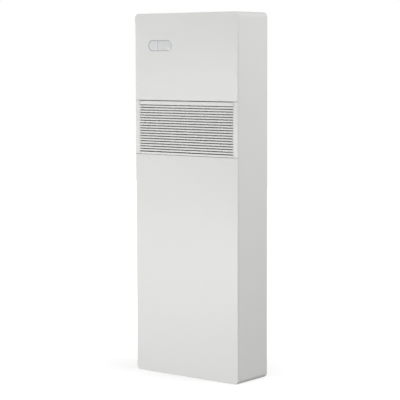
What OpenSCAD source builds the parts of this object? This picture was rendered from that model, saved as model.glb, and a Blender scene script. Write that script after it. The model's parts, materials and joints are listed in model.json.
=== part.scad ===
// Tall wall-side air conditioner with both of its air circuits in one housing.
// Millimetres. X runs to the right seen from the front, Y towards the wall, Z up.
// The origin is the middle of the footprint, on the floor.

/* [Casing] */
// Width of the casing
body_w = 500; // [499:1:540]
// Height of the casing
body_h = 1398; // [1390:1:1440]
// Depth from the wall to the front
body_d = 185; // [184:1:200]
// Radius of the four corners seen from the front
corner_r = 18; // [17:0.5:20]
// Thickness of the casing sheet
sheet_t = 1.2; // [0.8:0.1:1.5]
// Thickness of the rear panel
rear_t = 1.5; // [1:0.1:2]
// Width of the lips that are folded in at the front and the back
lip_w = 14; // [12:0.5:15]
// Radius of the inner corners of those lips
lip_corner_r = 3; // [1:0.5:5]

/* [Front panels] */
// Thickness of the panel sheet
panel_t = 1.5; // [1:0.1:2]
// Depth of the folded side edges
flange_d = 5; // [4.5:0.1:7]
// Outer radius of the side folds
bend_r = 4; // [2.5:0.1:4.4]
// Gap between the folded edges and the casing
seam_gap = 0.8; // [0.4:0.1:1.5]
// Gap between one front piece and the next
joint_gap = 1.2; // [0.6:0.1:2]
// Height at which the folded edges start
flange_low = 31; // [22:1:40]
// Distance from the top at which the folded edges end
flange_drop = 35; // [22:1:45]
// Width of a panel clip
clip_w = 8; // [6:0.5:8.5]
// Height of a panel clip
clip_h = 18; // [10:1:30]
// Thickness of the clip's spring strip
clip_t = 0.8; // [0.5:0.1:1.2]

/* [Outlet grille] */
// Height of the lower panel
lower_panel_h = 855; // [852:1:862]
// Height of the grille opening's frame
grille_h = 208; // [204:1:214]
// Width of the plain strip at each side
strip_w = 21; // [18:0.5:24]
// Play between the insert and its frame
insert_gap = 0.5; // [0.3:0.1:1]
// Gap over the insert
insert_top_gap = 2; // [1:0.1:3]
// Height of the plain band at the top of the insert
band_h = 14.5; // [10:0.5:20]
// Height of the plain bar at the bottom of the insert
foot_h = 8.6; // [6:0.2:12]
// Thickness of the insert's walls
insert_t = 2.5; // [2:0.1:3.5]
// Number of slats
slat_count = 18; // [12:1:20]
// Height of the slots between the slats
slot_h = 3.3; // [2.5:0.1:4]
// Depth of a slat
slat_d = 13; // [10:0.5:13.5]
// Radius of a slat's front edges
slat_round = 1.2; // [0.6:0.1:1.6]
// Thickness of a slat's rear edge
slat_tail = 1.8; // [1.2:0.1:2.5]
// How much higher a slat's rear edge lies than its front
slat_rise = 4.2; // [2:0.2:5]
// Number of ribs behind the slats
rib_count = 5; // [3:1:9]
// Thickness of a rib
rib_t = 1.8; // [1.2:0.1:3]
// Thickness of the frame's rear ring
ring_t = 2; // [1.5:0.1:2.6]
// Width of the frame's rear ring
ring_w = 6; // [4:0.5:7]

/* [Display] */
// Width of the display window
pill_w = 115; // [100:1:130]
// Height of the display window
pill_h = 40; // [34:1:46]
// Distance of the window's middle from the casing's middle
pill_x = 124; // [90:1:150]
// Distance of the window's middle from the top
pill_drop = 123.5; // [110:0.5:150]
// Width of the bezel's visible rim
bezel_w = 1.6; // [1:0.1:3]
// Depth of the bezel
bezel_d = 8; // [6:0.5:12]
// Width of the flange behind the panel
bezel_flange = 3; // [2:0.5:5]
// Depth at which the lens and the key lie
lens_set = 0.5; // [0.2:0.1:1]
// Thickness of the lens and the key
lens_t = 2; // [1.5:0.1:3]
// Width of the touch key
key_w = 44; // [38:0.5:50]
// Gap between the key and the lens
key_gap = 1; // [0.5:0.1:2]
// Thickness of the display's circuit board
board_t = 1.6; // [1:0.1:2]

/* [Intake grille and filter] */
// Distance of the opening from the casing's sides
intake_side = 38; // [35:0.5:40]
// Distance of the opening from the front
intake_front = 18; // [16:0.5:24]
// Distance of the opening from the wall
intake_rear = 8; // [7.5:0.5:10]
// Thickness of the intake grille's frame
intake_t = 3; // [2:0.1:4]
// Width of the grille's outer frame
intake_rim = 6; // [5:0.5:8]
// Width of the flange under the casing's top
intake_flange = 4; // [3:0.5:4.5]
// Number of bars in the intake grille
bar_count = 14; // [8:1:16]
// Thickness of a bar
bar_t = 3.4; // [2:0.1:4]
// Depth of a bar
bar_h = 7; // [4:0.5:8]
// Number of ribs under the bars
intake_rib_count = 4; // [2:1:6]
// Width of the slot that the filter passes
filter_slot = 10.5; // [9.5:0.1:12]
// Distance of the filter's edges from the end plates' inner faces
filter_inset = 3.8; // [3.4:0.1:6]
// Thickness of the filter frame
filter_t = 4; // [3:0.1:4.5]
// Width of the filter frame's border
filter_border = 9; // [7:0.5:12]
// Width of the filter frame's bars
filter_bar = 2.4; // [1.5:0.1:4]
// Thickness of the filter mesh
mesh_t = 0.6; // [0.4:0.1:1]
// Width of the pull tab
tab_w = 46; // [30:1:70]
// Length by which the tab stands over the frame
tab_h = 9; // [6:0.5:12]

/* [Evaporator] */
// Thickness of the evaporator's end plates
end_plate_t = 1.6; // [1.2:0.1:2]
// Thickness of both coils
coil_t = 25; // [22:0.5:26]
// Number of tube rows in the evaporator, an even number
evap_rows = 10; // [8:2:10]
// Distance of the filter's foot from the front
filter_front = 28.6; // [28:0.2:30]
// Height of the filter's foot over the grille frame
filter_lift = 57.2; // [56:0.2:60]
// Distance of the filter slot from the wall
slot_rear = 22.2; // [21.6:0.2:24]
// How much shorter the evaporator is than the way of the filter
evap_short = 56.1; // [54:0.5:62]
// Tube radius in the coils
tube_r = 4; // [3:0.1:5]
// Straight stub between an end plate and a bend
stub_l = 2; // [1:0.5:3]
// Distance from one groove between the fins to the next
fin_pitch = 8; // [7:0.5:12]
// Width of a groove between the fins
fin_gap = 2.6; // [1.5:0.1:4]
// Depth of a groove between the fins
fin_depth = 3; // [1:0.5:5]
// Distance of the filter's middle from the evaporator's middle
filter_off = 21; // [20:0.5:22]
// Width of the channels that guide the filter
guide_w = 8; // [7:0.5:10]
// Wall of those channels
guide_t = 2; // [1.5:0.1:2.2]

/* [Drip tray] */
// How far the tray reaches past the fan's duct at each side
tray_over = 14; // [13:0.5:15]
// Distance of the tray from the front
tray_front = 9; // [8:0.5:10]
// Depth of the tray from front to rear
tray_d = 62; // [58:1:66]
// Height of the tray's walls
tray_h = 22; // [16:1:26]
// Wall of the drip tray and the base pan
tray_t = 2; // [1.5:0.1:3]
// Outer radius of the drain tube
drain_r = 4.5; // [3.5:0.1:4.8]
// Inner radius of the drain tube
drain_bore_r = 3; // [2:0.1:3.4]

/* [Indoor fan] */
// Radius of the cross-flow fan
fan_r = 58; // [54:0.5:58.5]
// Distance of the cross-flow fan's ends from the casing's sides
fan_side = 46; // [45:0.5:50]
// Distance of the fan's axis behind the middle of the casing
fan_y = 16; // [14:0.5:17]
// Height of the fan's axis over the grille frame's foot
fan_rise = 109; // [107:0.5:112]
// Number of blades
blade_count = 26; // [18:1:32]
// Depth of a blade ring
blade_ring = 14; // [10:0.5:18]
// Thickness of a blade
blade_t = 1.6; // [1.2:0.1:2]
// Number of discs along the fan
disc_count = 5; // [3:1:7]
// Thickness of a disc
disc_t = 3; // [2:0.1:4]
// Radius of the fan's hubs
hub_r = 11; // [9:0.5:14]
// Length of the fan's hubs
hub_l = 9; // [7:0.5:12]
// Radius of the fan's steel shafts
shaft_r = 4; // [3:0.1:5]
// Radius of the bearing block
bearing_r = 14; // [12:0.5:18]
// Length of the bearing block
bearing_l = 9; // [7:0.5:10]
// Radius of the indoor fan's motor
motor_r = 42; // [36:0.5:43]
// Length of the indoor fan's motor
motor_l = 29; // [24:0.5:30]
// Gap between the fan and its end walls
fan_end_gap = 4; // [2:0.5:6]
// Thickness of the duct's end walls
wall_t = 3; // [2:0.1:3.5]
// Gap between the fan and the rear guide where it starts
guide_gap = 4.5; // [4:0.1:5]
// How much that gap has grown where the guide leaves the fan
guide_growth = 17; // [14:0.5:18]
// Thickness of the air guide and the tongue
duct_t = 2.5; // [2:0.1:3]
// Gap between the fan and the tongue's edge
tongue_gap = 4; // [3:0.1:6]

/* [Steering vanes] */
// Number of steering vanes
vane_count = 5; // [5:1:5]
// Distance of the outer vanes from the duct's ends
vane_side = 52; // [40:1:70]
// Width of a vane
vane_chord = 22; // [18:0.5:23]
// Thickness of a vane
vane_t = 1.6; // [1.2:0.1:2.2]
// Distance of the vanes' pivots from the front
vane_set = 32.5; // [32:0.1:33.5]
// Radius of the pivot pins
pin_r = 2; // [1.5:0.1:2.4]
// Length of the pivot pins
pin_l = 3.6; // [2.5:0.1:4]
// Distance from a vane's pivot to its crank pin
crank = 9; // [8:0.2:9.5]
// Radius of a crank pin
crank_r = 1.5; // [1:0.1:1.8]
// Height of the cut-back top of a vane
neck_h = 8; // [7:0.2:10]
// Half the width of the cut-back top
neck_half = 3; // [2.5:0.1:3.4]
// Width of the link bar
link_w = 7; // [6:0.2:7.4]
// Thickness of the link bar
link_t = 3; // [2:0.1:4]
// Width of the rails that hold the vanes
rail_w = 16; // [12:0.5:17]
// Thickness of the rails
rail_t = 4; // [3:0.1:5]
// Radius of the vane motor
step_r = 13; // [10:0.5:14]
// Height of the vane motor
step_h = 15; // [12:0.5:16]

/* [Bulkhead and base] */
// Thickness of the insulated bulkhead
bulkhead_t = 10; // [6:0.5:12]
// Distance of the bulkhead's top below the lower panel's edge
bulkhead_drop = 5; // [3:0.5:8]
// Height of the base pan
pan_h = 36; // [32:1:44]
// Height of the drain outlet's axis
drain_z = 14; // [13:0.5:18]
// Bore radius of the drain outlet
outlet_bore_r = 6; // [5:0.1:7]
// Outer radius of the drain outlet
outlet_r = 8; // [7.5:0.1:9.5]
// Length of the drain outlet
outlet_l = 22; // [16:1:30]
// Distance of the drain outlet from the middle
outlet_x = 60; // [20:1:80]

/* [Condenser] */
// Number of tube rows in the condenser, an even number
cond_rows = 22; // [18:2:22]
// Distance of the condenser's left end plate from the casing's side
cond_left = 27; // [25:0.5:30]
// Gap between the condenser's right end plate and the accumulator
cond_gap = 56; // [54:1:62]
// Distance of the condenser's front behind the front plane
cond_front = 82.5; // [78:0.5:86]
// Gap between the base pan's rim and the lowest fin
cond_lift = 3; // [2:0.5:6]
// Distance of the intake shelf over the top of the fins
shelf_gap = 20; // [14:1:24]
// Distance of the shelf below the exhaust duct's top
shelf_drop = 1.8; // [1.5:0.1:3]
// Distance of the intake baffle from the middle
baffle_x = 4; // [3:0.5:8]

/* [Outdoor fan] */
// Radius of the outdoor fan's wheel
wheel_r = 80; // [74:0.5:81]
// Width of the wheel
wheel_w = 56; // [48:0.5:57]
// Distance of the wheel's axis from the middle
wheel_x = 10; // [6:0.5:14]
// Number of blades on the wheel
wheel_blades = 28; // [20:1:36]
// Depth of the wheel's blade ring
wheel_ring = 14; // [10:0.5:18]
// Thickness of the wheel's discs and blades
wheel_t = 2.2; // [1.6:0.1:3]
// Radius of the wheel's hub
wheel_hub_r = 14; // [11:0.5:18]
// Radius of the outdoor fan's shaft
wheel_shaft_r = 5; // [4:0.1:6]
// Gap between the wheel and the scroll at its cut-off
scroll_gap = 10; // [8:0.5:11]
// How much the scroll opens in a full turn
scroll_growth = 32; // [28:0.5:34]
// Wall of the scroll
scroll_t = 2.5; // [2:0.1:3]
// Inner depth of the scroll
scroll_d = 66; // [62:0.5:68]
// Distance of the scroll from the front plane
scroll_front = 52.5; // [51:0.5:56]
// Gap between the scroll and the bulkhead
scroll_drop = 5; // [3:0.5:8]
// Radius of the scroll's inlet
inlet_r = 62; // [56:0.5:64]
// Height of the inlet's collar
inlet_lip = 8; // [4:0.5:12]
// Radius of the outdoor fan's motor
wheel_motor_r = 45; // [38:0.5:48]
// Length of the outdoor fan's motor
wheel_motor_l = 42; // [34:0.5:50]
// Radius of the feet that hold the scroll
foot_r = 6; // [4:0.5:7]

/* [Wall ports] */
// Distance of the ports' axes from the casing's sides
port_side = 103.5; // [102:0.5:105]
// Bore radius of a port
port_r = 75; // [70:0.5:76]
// Wall of a port's collar
port_wall = 2.5; // [2:0.1:3]
// Length of a port's collar
port_l = 25; // [20:1:32]
// Width of the collar's flange
port_flange = 6.5; // [5:0.5:7]
// Wall of the exhaust duct
exhaust_t = 2.5; // [2:0.1:3]
// Gap between the exhaust duct's wall and the collar's flange
exhaust_gap = 1; // [0.5:0.1:1.5]
// Height of the exhaust duct's top over the ports' axes
exhaust_up = 137; // [134:0.5:139]
// Distance of the exhaust duct's top below the bulkhead
exhaust_drop = 228; // [226:0.5:231]

/* [Compressor] */
// Radius of the compressor's shell
shell_r = 56; // [50:0.5:57]
// Distance of the shell's top below the changeover valve's stub
shell_drop = 53.8; // [50:0.2:70]
// Radius of the shell's rounded ends
shell_round = 26; // [16:0.5:34]
// Distance of the compressor's axis from the casing's side
shell_side = 100; // [98:0.5:102]
// Distance of the compressor's axis behind the middle
shell_y = 5; // [2:0.5:7]
// Thickness of the mounting plate
foot_t = 3; // [2:0.1:4]
// Distance of the mounting holes from the compressor's axis
foot_ring = 68; // [66:0.5:69]
// Radius of the rubber mounts
mount_r = 11; // [9:0.5:12]
// Height of the rubber mounts
mount_h = 20; // [16:0.5:24]
// Height of the pan's bosses under the mounts
boss_h = 12; // [10:0.5:16]
// Radius of the mounting bolts
bolt_r = 4; // [3:0.1:5]
// Height of a bolt's head
bolt_head_h = 5; // [4:0.5:7]
// Radius of the accumulator
acc_r = 28; // [24:0.5:30]
// Height of the accumulator
acc_h = 139.52; // [120:1:150]
// Height of the accumulator's foot over the compressor's plate
acc_lift = 52.32; // [48:0.5:60]
// Gap between the accumulator and the compressor
acc_gap = 8; // [6:0.5:12]

/* [Refrigerant circuit] */
// Radius of the gas pipes
gas_r = 6; // [5:0.1:6.3]
// Radius of the liquid pipes
liquid_r = 3.2; // [2.5:0.1:3.4]
// Bend radius at the middle of a pipe
pipe_bend = 12; // [9:0.5:12]
// Distance of the gas riser from the casing's side
riser_side = 10; // [9:0.5:10.5]
// Distance of the liquid riser from the casing's side
liquid_side = 22; // [20:0.5:23]
// Distance of the gas pipes from the front
gas_front = 32.5; // [32:0.5:33]
// Distance of the liquid pipes from the front
liquid_front = 22.5; // [21.5:0.5:23]
// Gap between the exhaust duct and the middle of the pipes below it
run_drop = 15.5; // [14:0.5:18]
// Radius of the changeover valve
valve_r = 13; // [10:0.5:14]
// Length of the changeover valve
valve_l = 80; // [72:1:90]
// Distance between the valve's stubs
valve_pitch = 24; // [20:0.5:26]
// Length of the valve's stubs
valve_stub = 9; // [6:0.5:12]
// Height of the pipes over the valve's axis
valve_rise = 40; // [37:0.5:42]
// Height of the liquid line's lower run
liquid_z = 149.4; // [120:1:170]
// Gap between the accumulator and the middle of the pipes beside it
pipe_gap = 10; // [8:0.5:14]
// Radius of the filter drier
drier_r = 9; // [7:0.5:10]
// Length of the filter drier
drier_l = 70; // [50:1:90]
// Radius of the expansion valve's body
exp_r = 9; // [7:0.5:10]
// Height of the expansion valve's coil
exp_h = 30; // [20:1:40]

/* [Control box] */
// Gap between the control box and the scroll
box_gap = 5.7; // [4:0.1:20]
// Height of the control box's floor over the intake shelf
box_up = 25.8; // [22:0.2:50]
// Depth of the control box
box_d = 116; // [100:1:118]
// Distance of the box from the casing's side
box_side = 18; // [17:0.5:22]
// Sheet of the control box
box_t = 1.2; // [0.8:0.1:1.6]
// Bore radius of the mains cable gland
gland_bore_r = 5; // [4:0.1:6]
// Outer radius of the gland
gland_r = 9; // [8:0.1:11]
// Length of the gland
gland_l = 20; // [16:0.5:24]
// Height of the gland over the box's floor
gland_up = 24; // [18:0.5:40]

/* [Wall fixing] */
// Distance of the fixing holes from the casing's sides
fix_side = 50; // [45:1:55]
// Distance of the upper fixing holes from the top
fix_top = 218; // [210:1:230]
// Distance of the lower fixing holes below the ports' axes
fix_drop = 145; // [138:1:155]
// Radius of the fixing holes
fix_r = 4.5; // [3:0.1:5.5]

/* [Fasteners and fits] */
// Radius of the rear screws' shanks
screw_r = 1.75; // [1.2:0.05:2]
// Radius of the rear screws' heads
screw_head_r = 3.6; // [2.8:0.1:4]
// Length of the rear screws
screw_l = 12; // [8:0.5:16]
// Running clearance of pins and shafts
run_gap = 0.05; // [0.02:0.01:0.09]
// Clearance of pieces that are pushed together
seat_gap = 0.02; // [0.01:0.01:0.05]
// Clearance around loose pieces
loose_gap = 0.4; // [0.3:0.1:0.8]

/* [Hidden] */
$fn = 48;
// Overrun of every cut
over = 2;

// Shares of a larger size
screw_z_shares = [0.04, 0.2, 0.36, 0.5, 0.66, 0.82, 0.96];
clip_z_shares = [0.05, 0.22, 0.4, 0.57, 0.69, 0.8, 0.94];

// Angles in degrees
guide_a0 = 62;
guide_step = 8;
tongue_a = 142;
blade_sweep = 26;
wheel_sweep = -16;
cutoff_a = 30;
scroll_turn = 360 - cutoff_a;

// The casing's planes
side_x = body_w / 2;
front_y = -body_d / 2;
back_y = body_d / 2;
inner_x = side_x - sheet_t;
front_lip_y = front_y + flange_d + seam_gap;
rear_lip_y = back_y - rear_t - sheet_t;
rear_in_y = back_y - rear_t;
panel_back_y = front_y + panel_t;
screw_x = inner_x - lip_w / 2;
flange_z = [flange_low, body_h - flange_drop];

// The front
grille_z0 = lower_panel_h + joint_gap;
grille_z1 = grille_z0 + grille_h;
upper_z0 = grille_z1 + joint_gap;
window_x = side_x - strip_w + insert_gap;
insert_x = window_x - insert_gap;
insert_z1 = grille_z1 - insert_top_gap;
slots_z0 = grille_z0 + foot_h;
slots_z1 = insert_z1 - band_h;
slat_h = (slots_z1 - slots_z0 - (slat_count + 1) * slot_h) / slat_count;
slat_pitch = slat_h + slot_h;
insert_back_y = front_y + slat_d + insert_t;
pill_z = body_h - pill_drop;
key_edge = -pill_x - pill_w / 2 + key_w;

// The indoor section
fan_half = side_x - fan_side;
duct_x = fan_half + fan_end_gap;
plate_x = duct_x;
coil_half = plate_x - end_plate_t;
filter_half = coil_half - filter_inset;
tray_half = plate_x + tray_over;
intake_w = 2 * (side_x - intake_side);
fan_z = grille_z0 + fan_rise;
vane_y = front_y + vane_set;
vane_pitch = 2 * (duct_x - vane_side) / (vane_count - 1);
rail_z0 = grille_z0 + foot_h - rail_t / 2;
rail_z1 = slots_z1 - rail_t / 2;
roof_z = rail_z1 + rail_t;
tray_y = front_y + tray_front;
tray_z = roof_z + duct_t + step_h + loose_gap;

// The filter's way up to its slot; the evaporator stands behind it at the same lean
slot_y = back_y - slot_rear;
filter_foot = [front_y + filter_front, grille_z1 + filter_lift];
filter_way = [slot_y, body_h - intake_t / 2] - filter_foot;
evap_tilt = atan(filter_way.x / filter_way.y);
evap_y = filter_foot.x + filter_off * cos(evap_tilt);
evap_z = filter_foot.y - filter_off * sin(evap_tilt);
evap_l = norm(filter_way) - evap_short;
evap_pitch = evap_l / evap_rows;
filter_l = (body_h - sheet_t - evap_z - (filter_off + filter_t / 2) * sin(evap_tilt)) / cos(evap_tilt);
filter_z1 = filter_l - tab_h;
mesh_x = filter_half - filter_border;

// The outdoor section, from the bulkhead downwards
bulkhead_z1 = lower_panel_h - bulkhead_drop;
bulkhead_z0 = bulkhead_z1 - bulkhead_t;
pan_x = side_x - corner_r - loose_gap;
pan_y0 = front_lip_y + sheet_t + loose_gap;
pan_y1 = rear_lip_y - loose_gap;
pan_floor = sheet_t + tray_t;
scroll_y0 = front_y + scroll_front;
scroll_y1 = scroll_y0 + scroll_d;
scroll_r0 = wheel_r + scroll_gap;
wheel_z = bulkhead_z0 - scroll_drop - scroll_t - scroll_at(270 - cutoff_a);
wheel_y0 = scroll_y0 + scroll_gap / 2;
wheel_y1 = wheel_y0 + wheel_w;
throat_x0 = wheel_x + scroll_r0 * cos(cutoff_a) + scroll_t / 2;
throat_x1 = wheel_x + scroll_at(scroll_turn);
scroll_x0 = wheel_x - scroll_at(180 - cutoff_a) - 2 * scroll_t;
scroll_x1 = throat_x1 + scroll_t;
scroll_z1 = wheel_z + scroll_at(270 - cutoff_a) + 2 * scroll_t;
port_x = side_x - port_side;
exhaust_z1 = bulkhead_z0 - exhaust_drop;
port_z = exhaust_z1 - exhaust_up;
exhaust_half = port_r + port_wall + port_flange + exhaust_gap + exhaust_t;
fix_x = side_x - fix_side;
fix_z = port_z - fix_drop;
shelf_z = exhaust_z1 - shelf_drop;

// The compressor and its pipes
run_z = port_z - exhaust_half - run_drop;
valve_z = run_z - valve_rise;
valve_top = valve_z + valve_r + valve_stub;
valve_foot = valve_z - valve_r - valve_stub;
plate_z = sheet_t + tray_t + boss_h + mount_h;
shell_x = side_x - shell_side;
shell_z0 = plate_z + foot_t;
shell_z1 = valve_foot - shell_drop;
shell_h = shell_z1 - shell_z0;
discharge_z = shell_z1 + gas_r;
acc_x = shell_x - shell_r - acc_gap - acc_r;
acc_z0 = shell_z0 + acc_lift;
acc_z1 = acc_z0 + acc_h;
suction_z = acc_z0 - pipe_bend - gas_r;
suction_x = shell_x - shell_r - acc_gap / 2;
gap_x = acc_x - acc_r - pipe_gap;
riser_x = side_x - riser_side;
liquid_x = side_x - liquid_side;
gas_y = front_y + gas_front;
liquid_y = front_y + liquid_front;
drain_x = tray_half - tray_t - drain_bore_r - loose_gap;
drain_y = gas_y + gas_r + tray_t / 2 + drain_r;
drier_x1 = shell_x + valve_l / 4;
exp_x = drier_x1 - drier_l - 2 * exp_r;
stub_r = gas_r + foot_t / 4;
mount_points = [for (a = [90, 210, 330]) [shell_x + foot_ring * cos(a), shell_y + foot_ring * sin(a)]];

// The condenser and the control box
cond_x0 = -side_x + cond_left;
cond_x1 = acc_x - acc_r - cond_gap;
cond_y0 = front_y + cond_front;
cond_y1 = cond_y0 + coil_t;
cond_z0 = sheet_t + pan_h + cond_lift;
cond_z1 = shelf_z - shelf_gap;
cond_pitch = (cond_z1 - cond_z0) / cond_rows;
box_x0 = -side_x + box_side;
box_x1 = scroll_x0 - box_gap;
box_z0 = shelf_z + box_up;
box_y1 = rear_lip_y - loose_gap;
box_y0 = box_y1 - box_d;
post_l = hub_l;
gland_x = (box_x0 + box_x1) / 2;
gland_z = box_z0 + gland_up;
board_z0 = gland_z + gland_r + post_l;

module along_x(x0, x1) translate([x0, 0, 0]) rotate([90, 0, 90]) linear_extrude(x1 - x0) children();
module along_y(y0, y1) translate([0, y1, 0]) rotate([90, 0, 0]) linear_extrude(y1 - y0) children();
module along_z(z0, z1) translate([0, 0, z0]) linear_extrude(z1 - z0) children();
module block(low, high) translate(low) cube(high - low);
module rod_x(x0, x1, r) translate([x0, 0, 0]) rotate([0, 90, 0]) cylinder(h = x1 - x0, r = r);
module rod_y(y0, y1, r) translate([0, y1, 0]) rotate([90, 0, 0]) cylinder(h = y1 - y0, r = r);
module both_sides() for (s = [0, 1]) mirror([s, 0, 0]) children();

// Flat rectangle with true round corners
module round_rect(x0, x1, y0, y1, r) {
  translate([x0 + r, y0]) square([x1 - x0 - 2 * r, y1 - y0]);
  translate([x0, y0 + r]) square([x1 - x0, y1 - y0 - 2 * r]);
  for (x = [x0 + r, x1 - r], y = [y0 + r, y1 - r]) translate([x, y]) circle(r);
}

// The casing's outline, drawn in by a distance
module outline(inset, r) round_rect(-side_x + inset, side_x - inset, inset, body_h - inset, r);

// Pipe along right-angled corners, with true bends
module pipe(points, r, bend) {
  last = len(points) - 1;
  for (i = [0 : last - 1]) {
    d = (points[i + 1] - points[i]) / norm(points[i + 1] - points[i]);
    a = points[i] + d * (i == 0 ? 0 : bend);
    b = points[i + 1] - d * (i == last - 1 ? 0 : bend);
    multmatrix(frame_on(d, a)) cylinder(h = norm(b - a), r = r);
  }
  for (i = [1 : 1 : last - 1]) {
    d1 = (points[i] - points[i - 1]) / norm(points[i] - points[i - 1]);
    d2 = (points[i + 1] - points[i]) / norm(points[i + 1] - points[i]);
    c = points[i] + (d2 - d1) * bend;
    z = cross(-d2, d1);
    multmatrix([[-d2.x, d1.x, z.x, c.x], [-d2.y, d1.y, z.y, c.y], [-d2.z, d1.z, z.z, c.z], [0, 0, 0, 1]])
      rotate_extrude(angle = 90) translate([bend, 0]) circle(r);
  }
}
function frame_on(d, p) =
  let (side = abs(d.z) > 0.5 ? [1, 0, 0] : [0, 0, 1], u = cross(side, d), v = cross(d, u))
  [[u.x, v.x, d.x, p.x], [u.y, v.y, d.y, p.y], [u.z, v.z, d.z, p.z], [0, 0, 0, 1]];

// Window shape of the display, drawn in by a distance
module pill(inset) translate([-pill_x, pill_z]) {
  reach = (pill_w - pill_h) / 2;
  translate([-reach, inset - pill_h / 2]) square([2 * reach, pill_h - 2 * inset]);
  for (x = [-reach, reach]) translate([x, 0]) circle(pill_h / 2 - inset);
}

// Curved blade between two radii: its middle line turns by sweep degrees
function blade_points(r0, r1, sweep, t, shares = [0, 0.25, 0.5, 0.75, 1]) =
  let (side = [for (k = [-1, 1]) [for (s = shares) let (r = r0 + (r1 - r0) * s, a = sweep * s * s + k * atan(t / 2 / r))
    [r * cos(a), r * sin(a)]]])
  concat(side[0], [for (i = [len(shares) - 1 : -1 : 0]) side[1][i]]);

function scroll_at(turn) = scroll_r0 + scroll_growth * turn / 360;
function guide_at(a) = fan_r + guide_gap + guide_growth * (guide_a0 - a) / (guide_a0 + 90);
function polar(r, a) = [r * cos(a), r * sin(a)];
function row_at(i, pitch) = pitch * (i + 0.5);
function evap_point(x, i) = let (l = row_at(i, evap_pitch)) [x, evap_y + l * sin(evap_tilt), evap_z + l * cos(evap_tilt)];
function cond_point(i) = [cond_x1, (cond_y0 + cond_y1) / 2, cond_z0 + row_at(i, cond_pitch)];
function vane_x(i) = (i - (vane_count - 1) / 2) * vane_pitch;

// Casing: one wrapped sheet with lips folded in behind the front and before the rear panel
module casing() color("white") difference() {
  union() {
    along_y(panel_back_y, back_y) difference() {
      outline(0, corner_r);
      outline(sheet_t, corner_r - sheet_t);
    }
    for (y = [front_lip_y, rear_lip_y]) along_y(y, y + sheet_t) difference() {
      outline(sheet_t, corner_r - sheet_t);
      outline(sheet_t + lip_w, lip_corner_r);
    }
  }
  both_sides() block([inner_x, front_y, flange_z[0] - seam_gap], [side_x + over, front_lip_y, flange_z[1] + seam_gap]);
  block([-intake_w / 2, front_y + intake_front, body_h - sheet_t - over], [intake_w / 2, back_y - intake_rear, body_h + over]);
  both_sides() for (s = screw_z_shares) translate([screw_x, 0, s * body_h]) rod_y(rear_lip_y - over, back_y, screw_r + seat_gap);
  translate([outlet_x, 0, drain_z]) rod_y(rear_lip_y - over, back_y, outlet_r + loose_gap);
}

// Rear panel with the two port holes, the fixing holes and countersunk screw holes
module rear_panel() color("gainsboro") difference() {
  along_y(rear_in_y, back_y) outline(sheet_t + loose_gap, corner_r - sheet_t - loose_gap);
  both_sides() {
    translate([port_x, 0, port_z]) rod_y(rear_in_y - over, back_y + over, port_r + port_wall + loose_gap);
    for (s = screw_z_shares) translate([screw_x, back_y, s * body_h]) rotate([90, 0, 0])
      cylinder(h = rear_t, r1 = screw_head_r + run_gap, r2 = screw_r + run_gap);
    for (z = [fix_z, body_h - fix_top]) translate([fix_x, 0, z]) rod_y(rear_in_y - over, back_y + over, fix_r);
  }
  translate([gland_x, 0, gland_z]) rod_y(rear_in_y - over, back_y + over, gland_r + run_gap);
  translate([outlet_x, 0, drain_z]) rod_y(rear_in_y - over, back_y + over, outlet_r + loose_gap);
}

module rear_screws() color("silver") both_sides() for (s = screw_z_shares) translate([screw_x, back_y, s * body_h]) rotate([90, 0, 0]) {
  cylinder(h = rear_t, r1 = screw_head_r, r2 = screw_r);
  cylinder(h = screw_l, r = screw_r);
}

// Base pan: catches the condensate and carries the compressor
module base_pan() color("lightgray") difference() {
  union() {
    difference() {
      block([-pan_x, pan_y0, sheet_t], [pan_x, pan_y1, sheet_t + pan_h]);
      block([-pan_x + tray_t, pan_y0 + tray_t, pan_floor], [pan_x - tray_t, pan_y1 - tray_t, sheet_t + pan_h + over]);
    }
    for (p = mount_points) translate([p.x, p.y, sheet_t]) cylinder(h = tray_t + boss_h, r = mount_r);
    translate([outlet_x, 0, drain_z]) rod_y(back_y - outlet_l, back_y, outlet_r);
  }
  for (p = mount_points) translate([p.x, p.y, pan_floor]) cylinder(h = boss_h + over, r = bolt_r + seat_gap);
  translate([outlet_x, 0, drain_z]) rod_y(back_y - outlet_l - over, back_y + over, outlet_bore_r);
}

// Side fold of a front piece, seen from above
module fold() {
  translate([side_x - bend_r, front_y + bend_r]) intersection() {
    difference() {
      circle(bend_r);
      circle(bend_r - panel_t);
    }
    translate([0, -bend_r]) square(bend_r);
  }
  translate([side_x - panel_t, front_y + bend_r]) square([panel_t, flange_d - bend_r]);
}

// Flat front sheet from z0 to z1 with folded side edges and, at the ends, the casing's corners
module front_skin(z0, z1) {
  f0 = max(z0, flange_z[0]);
  f1 = min(z1, flange_z[1]);
  along_y(front_y, panel_back_y) difference() {
    intersection() {
      outline(0, corner_r);
      translate([-side_x, z0]) square([body_w, z1 - z0]);
    }
    both_sides() translate([side_x - bend_r, f0]) square([bend_r, f1 - f0]);
  }
  both_sides() along_z(f0, f1) fold();
}

module upper_front_panel() color("white") difference() {
  front_skin(upper_z0, body_h);
  along_y(front_y - over, panel_back_y + over) pill(-insert_gap);
}

module lower_front_panel() color("white") front_skin(0, lower_panel_h);

// Spring clips between the casing's front lip and the front pieces
module panel_clips() color("silver") both_sides() for (s = clip_z_shares)
  translate([screw_x, 0, s * body_h]) along_z(-clip_h / 2, clip_h / 2) difference() {
    translate([-clip_w / 2, panel_back_y]) square([clip_w, front_lip_y - panel_back_y]);
    translate([-clip_w / 2 - over, panel_back_y + clip_t]) square([clip_w - clip_t + over, front_lip_y - panel_back_y - 2 * clip_t]);
  }

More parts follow.
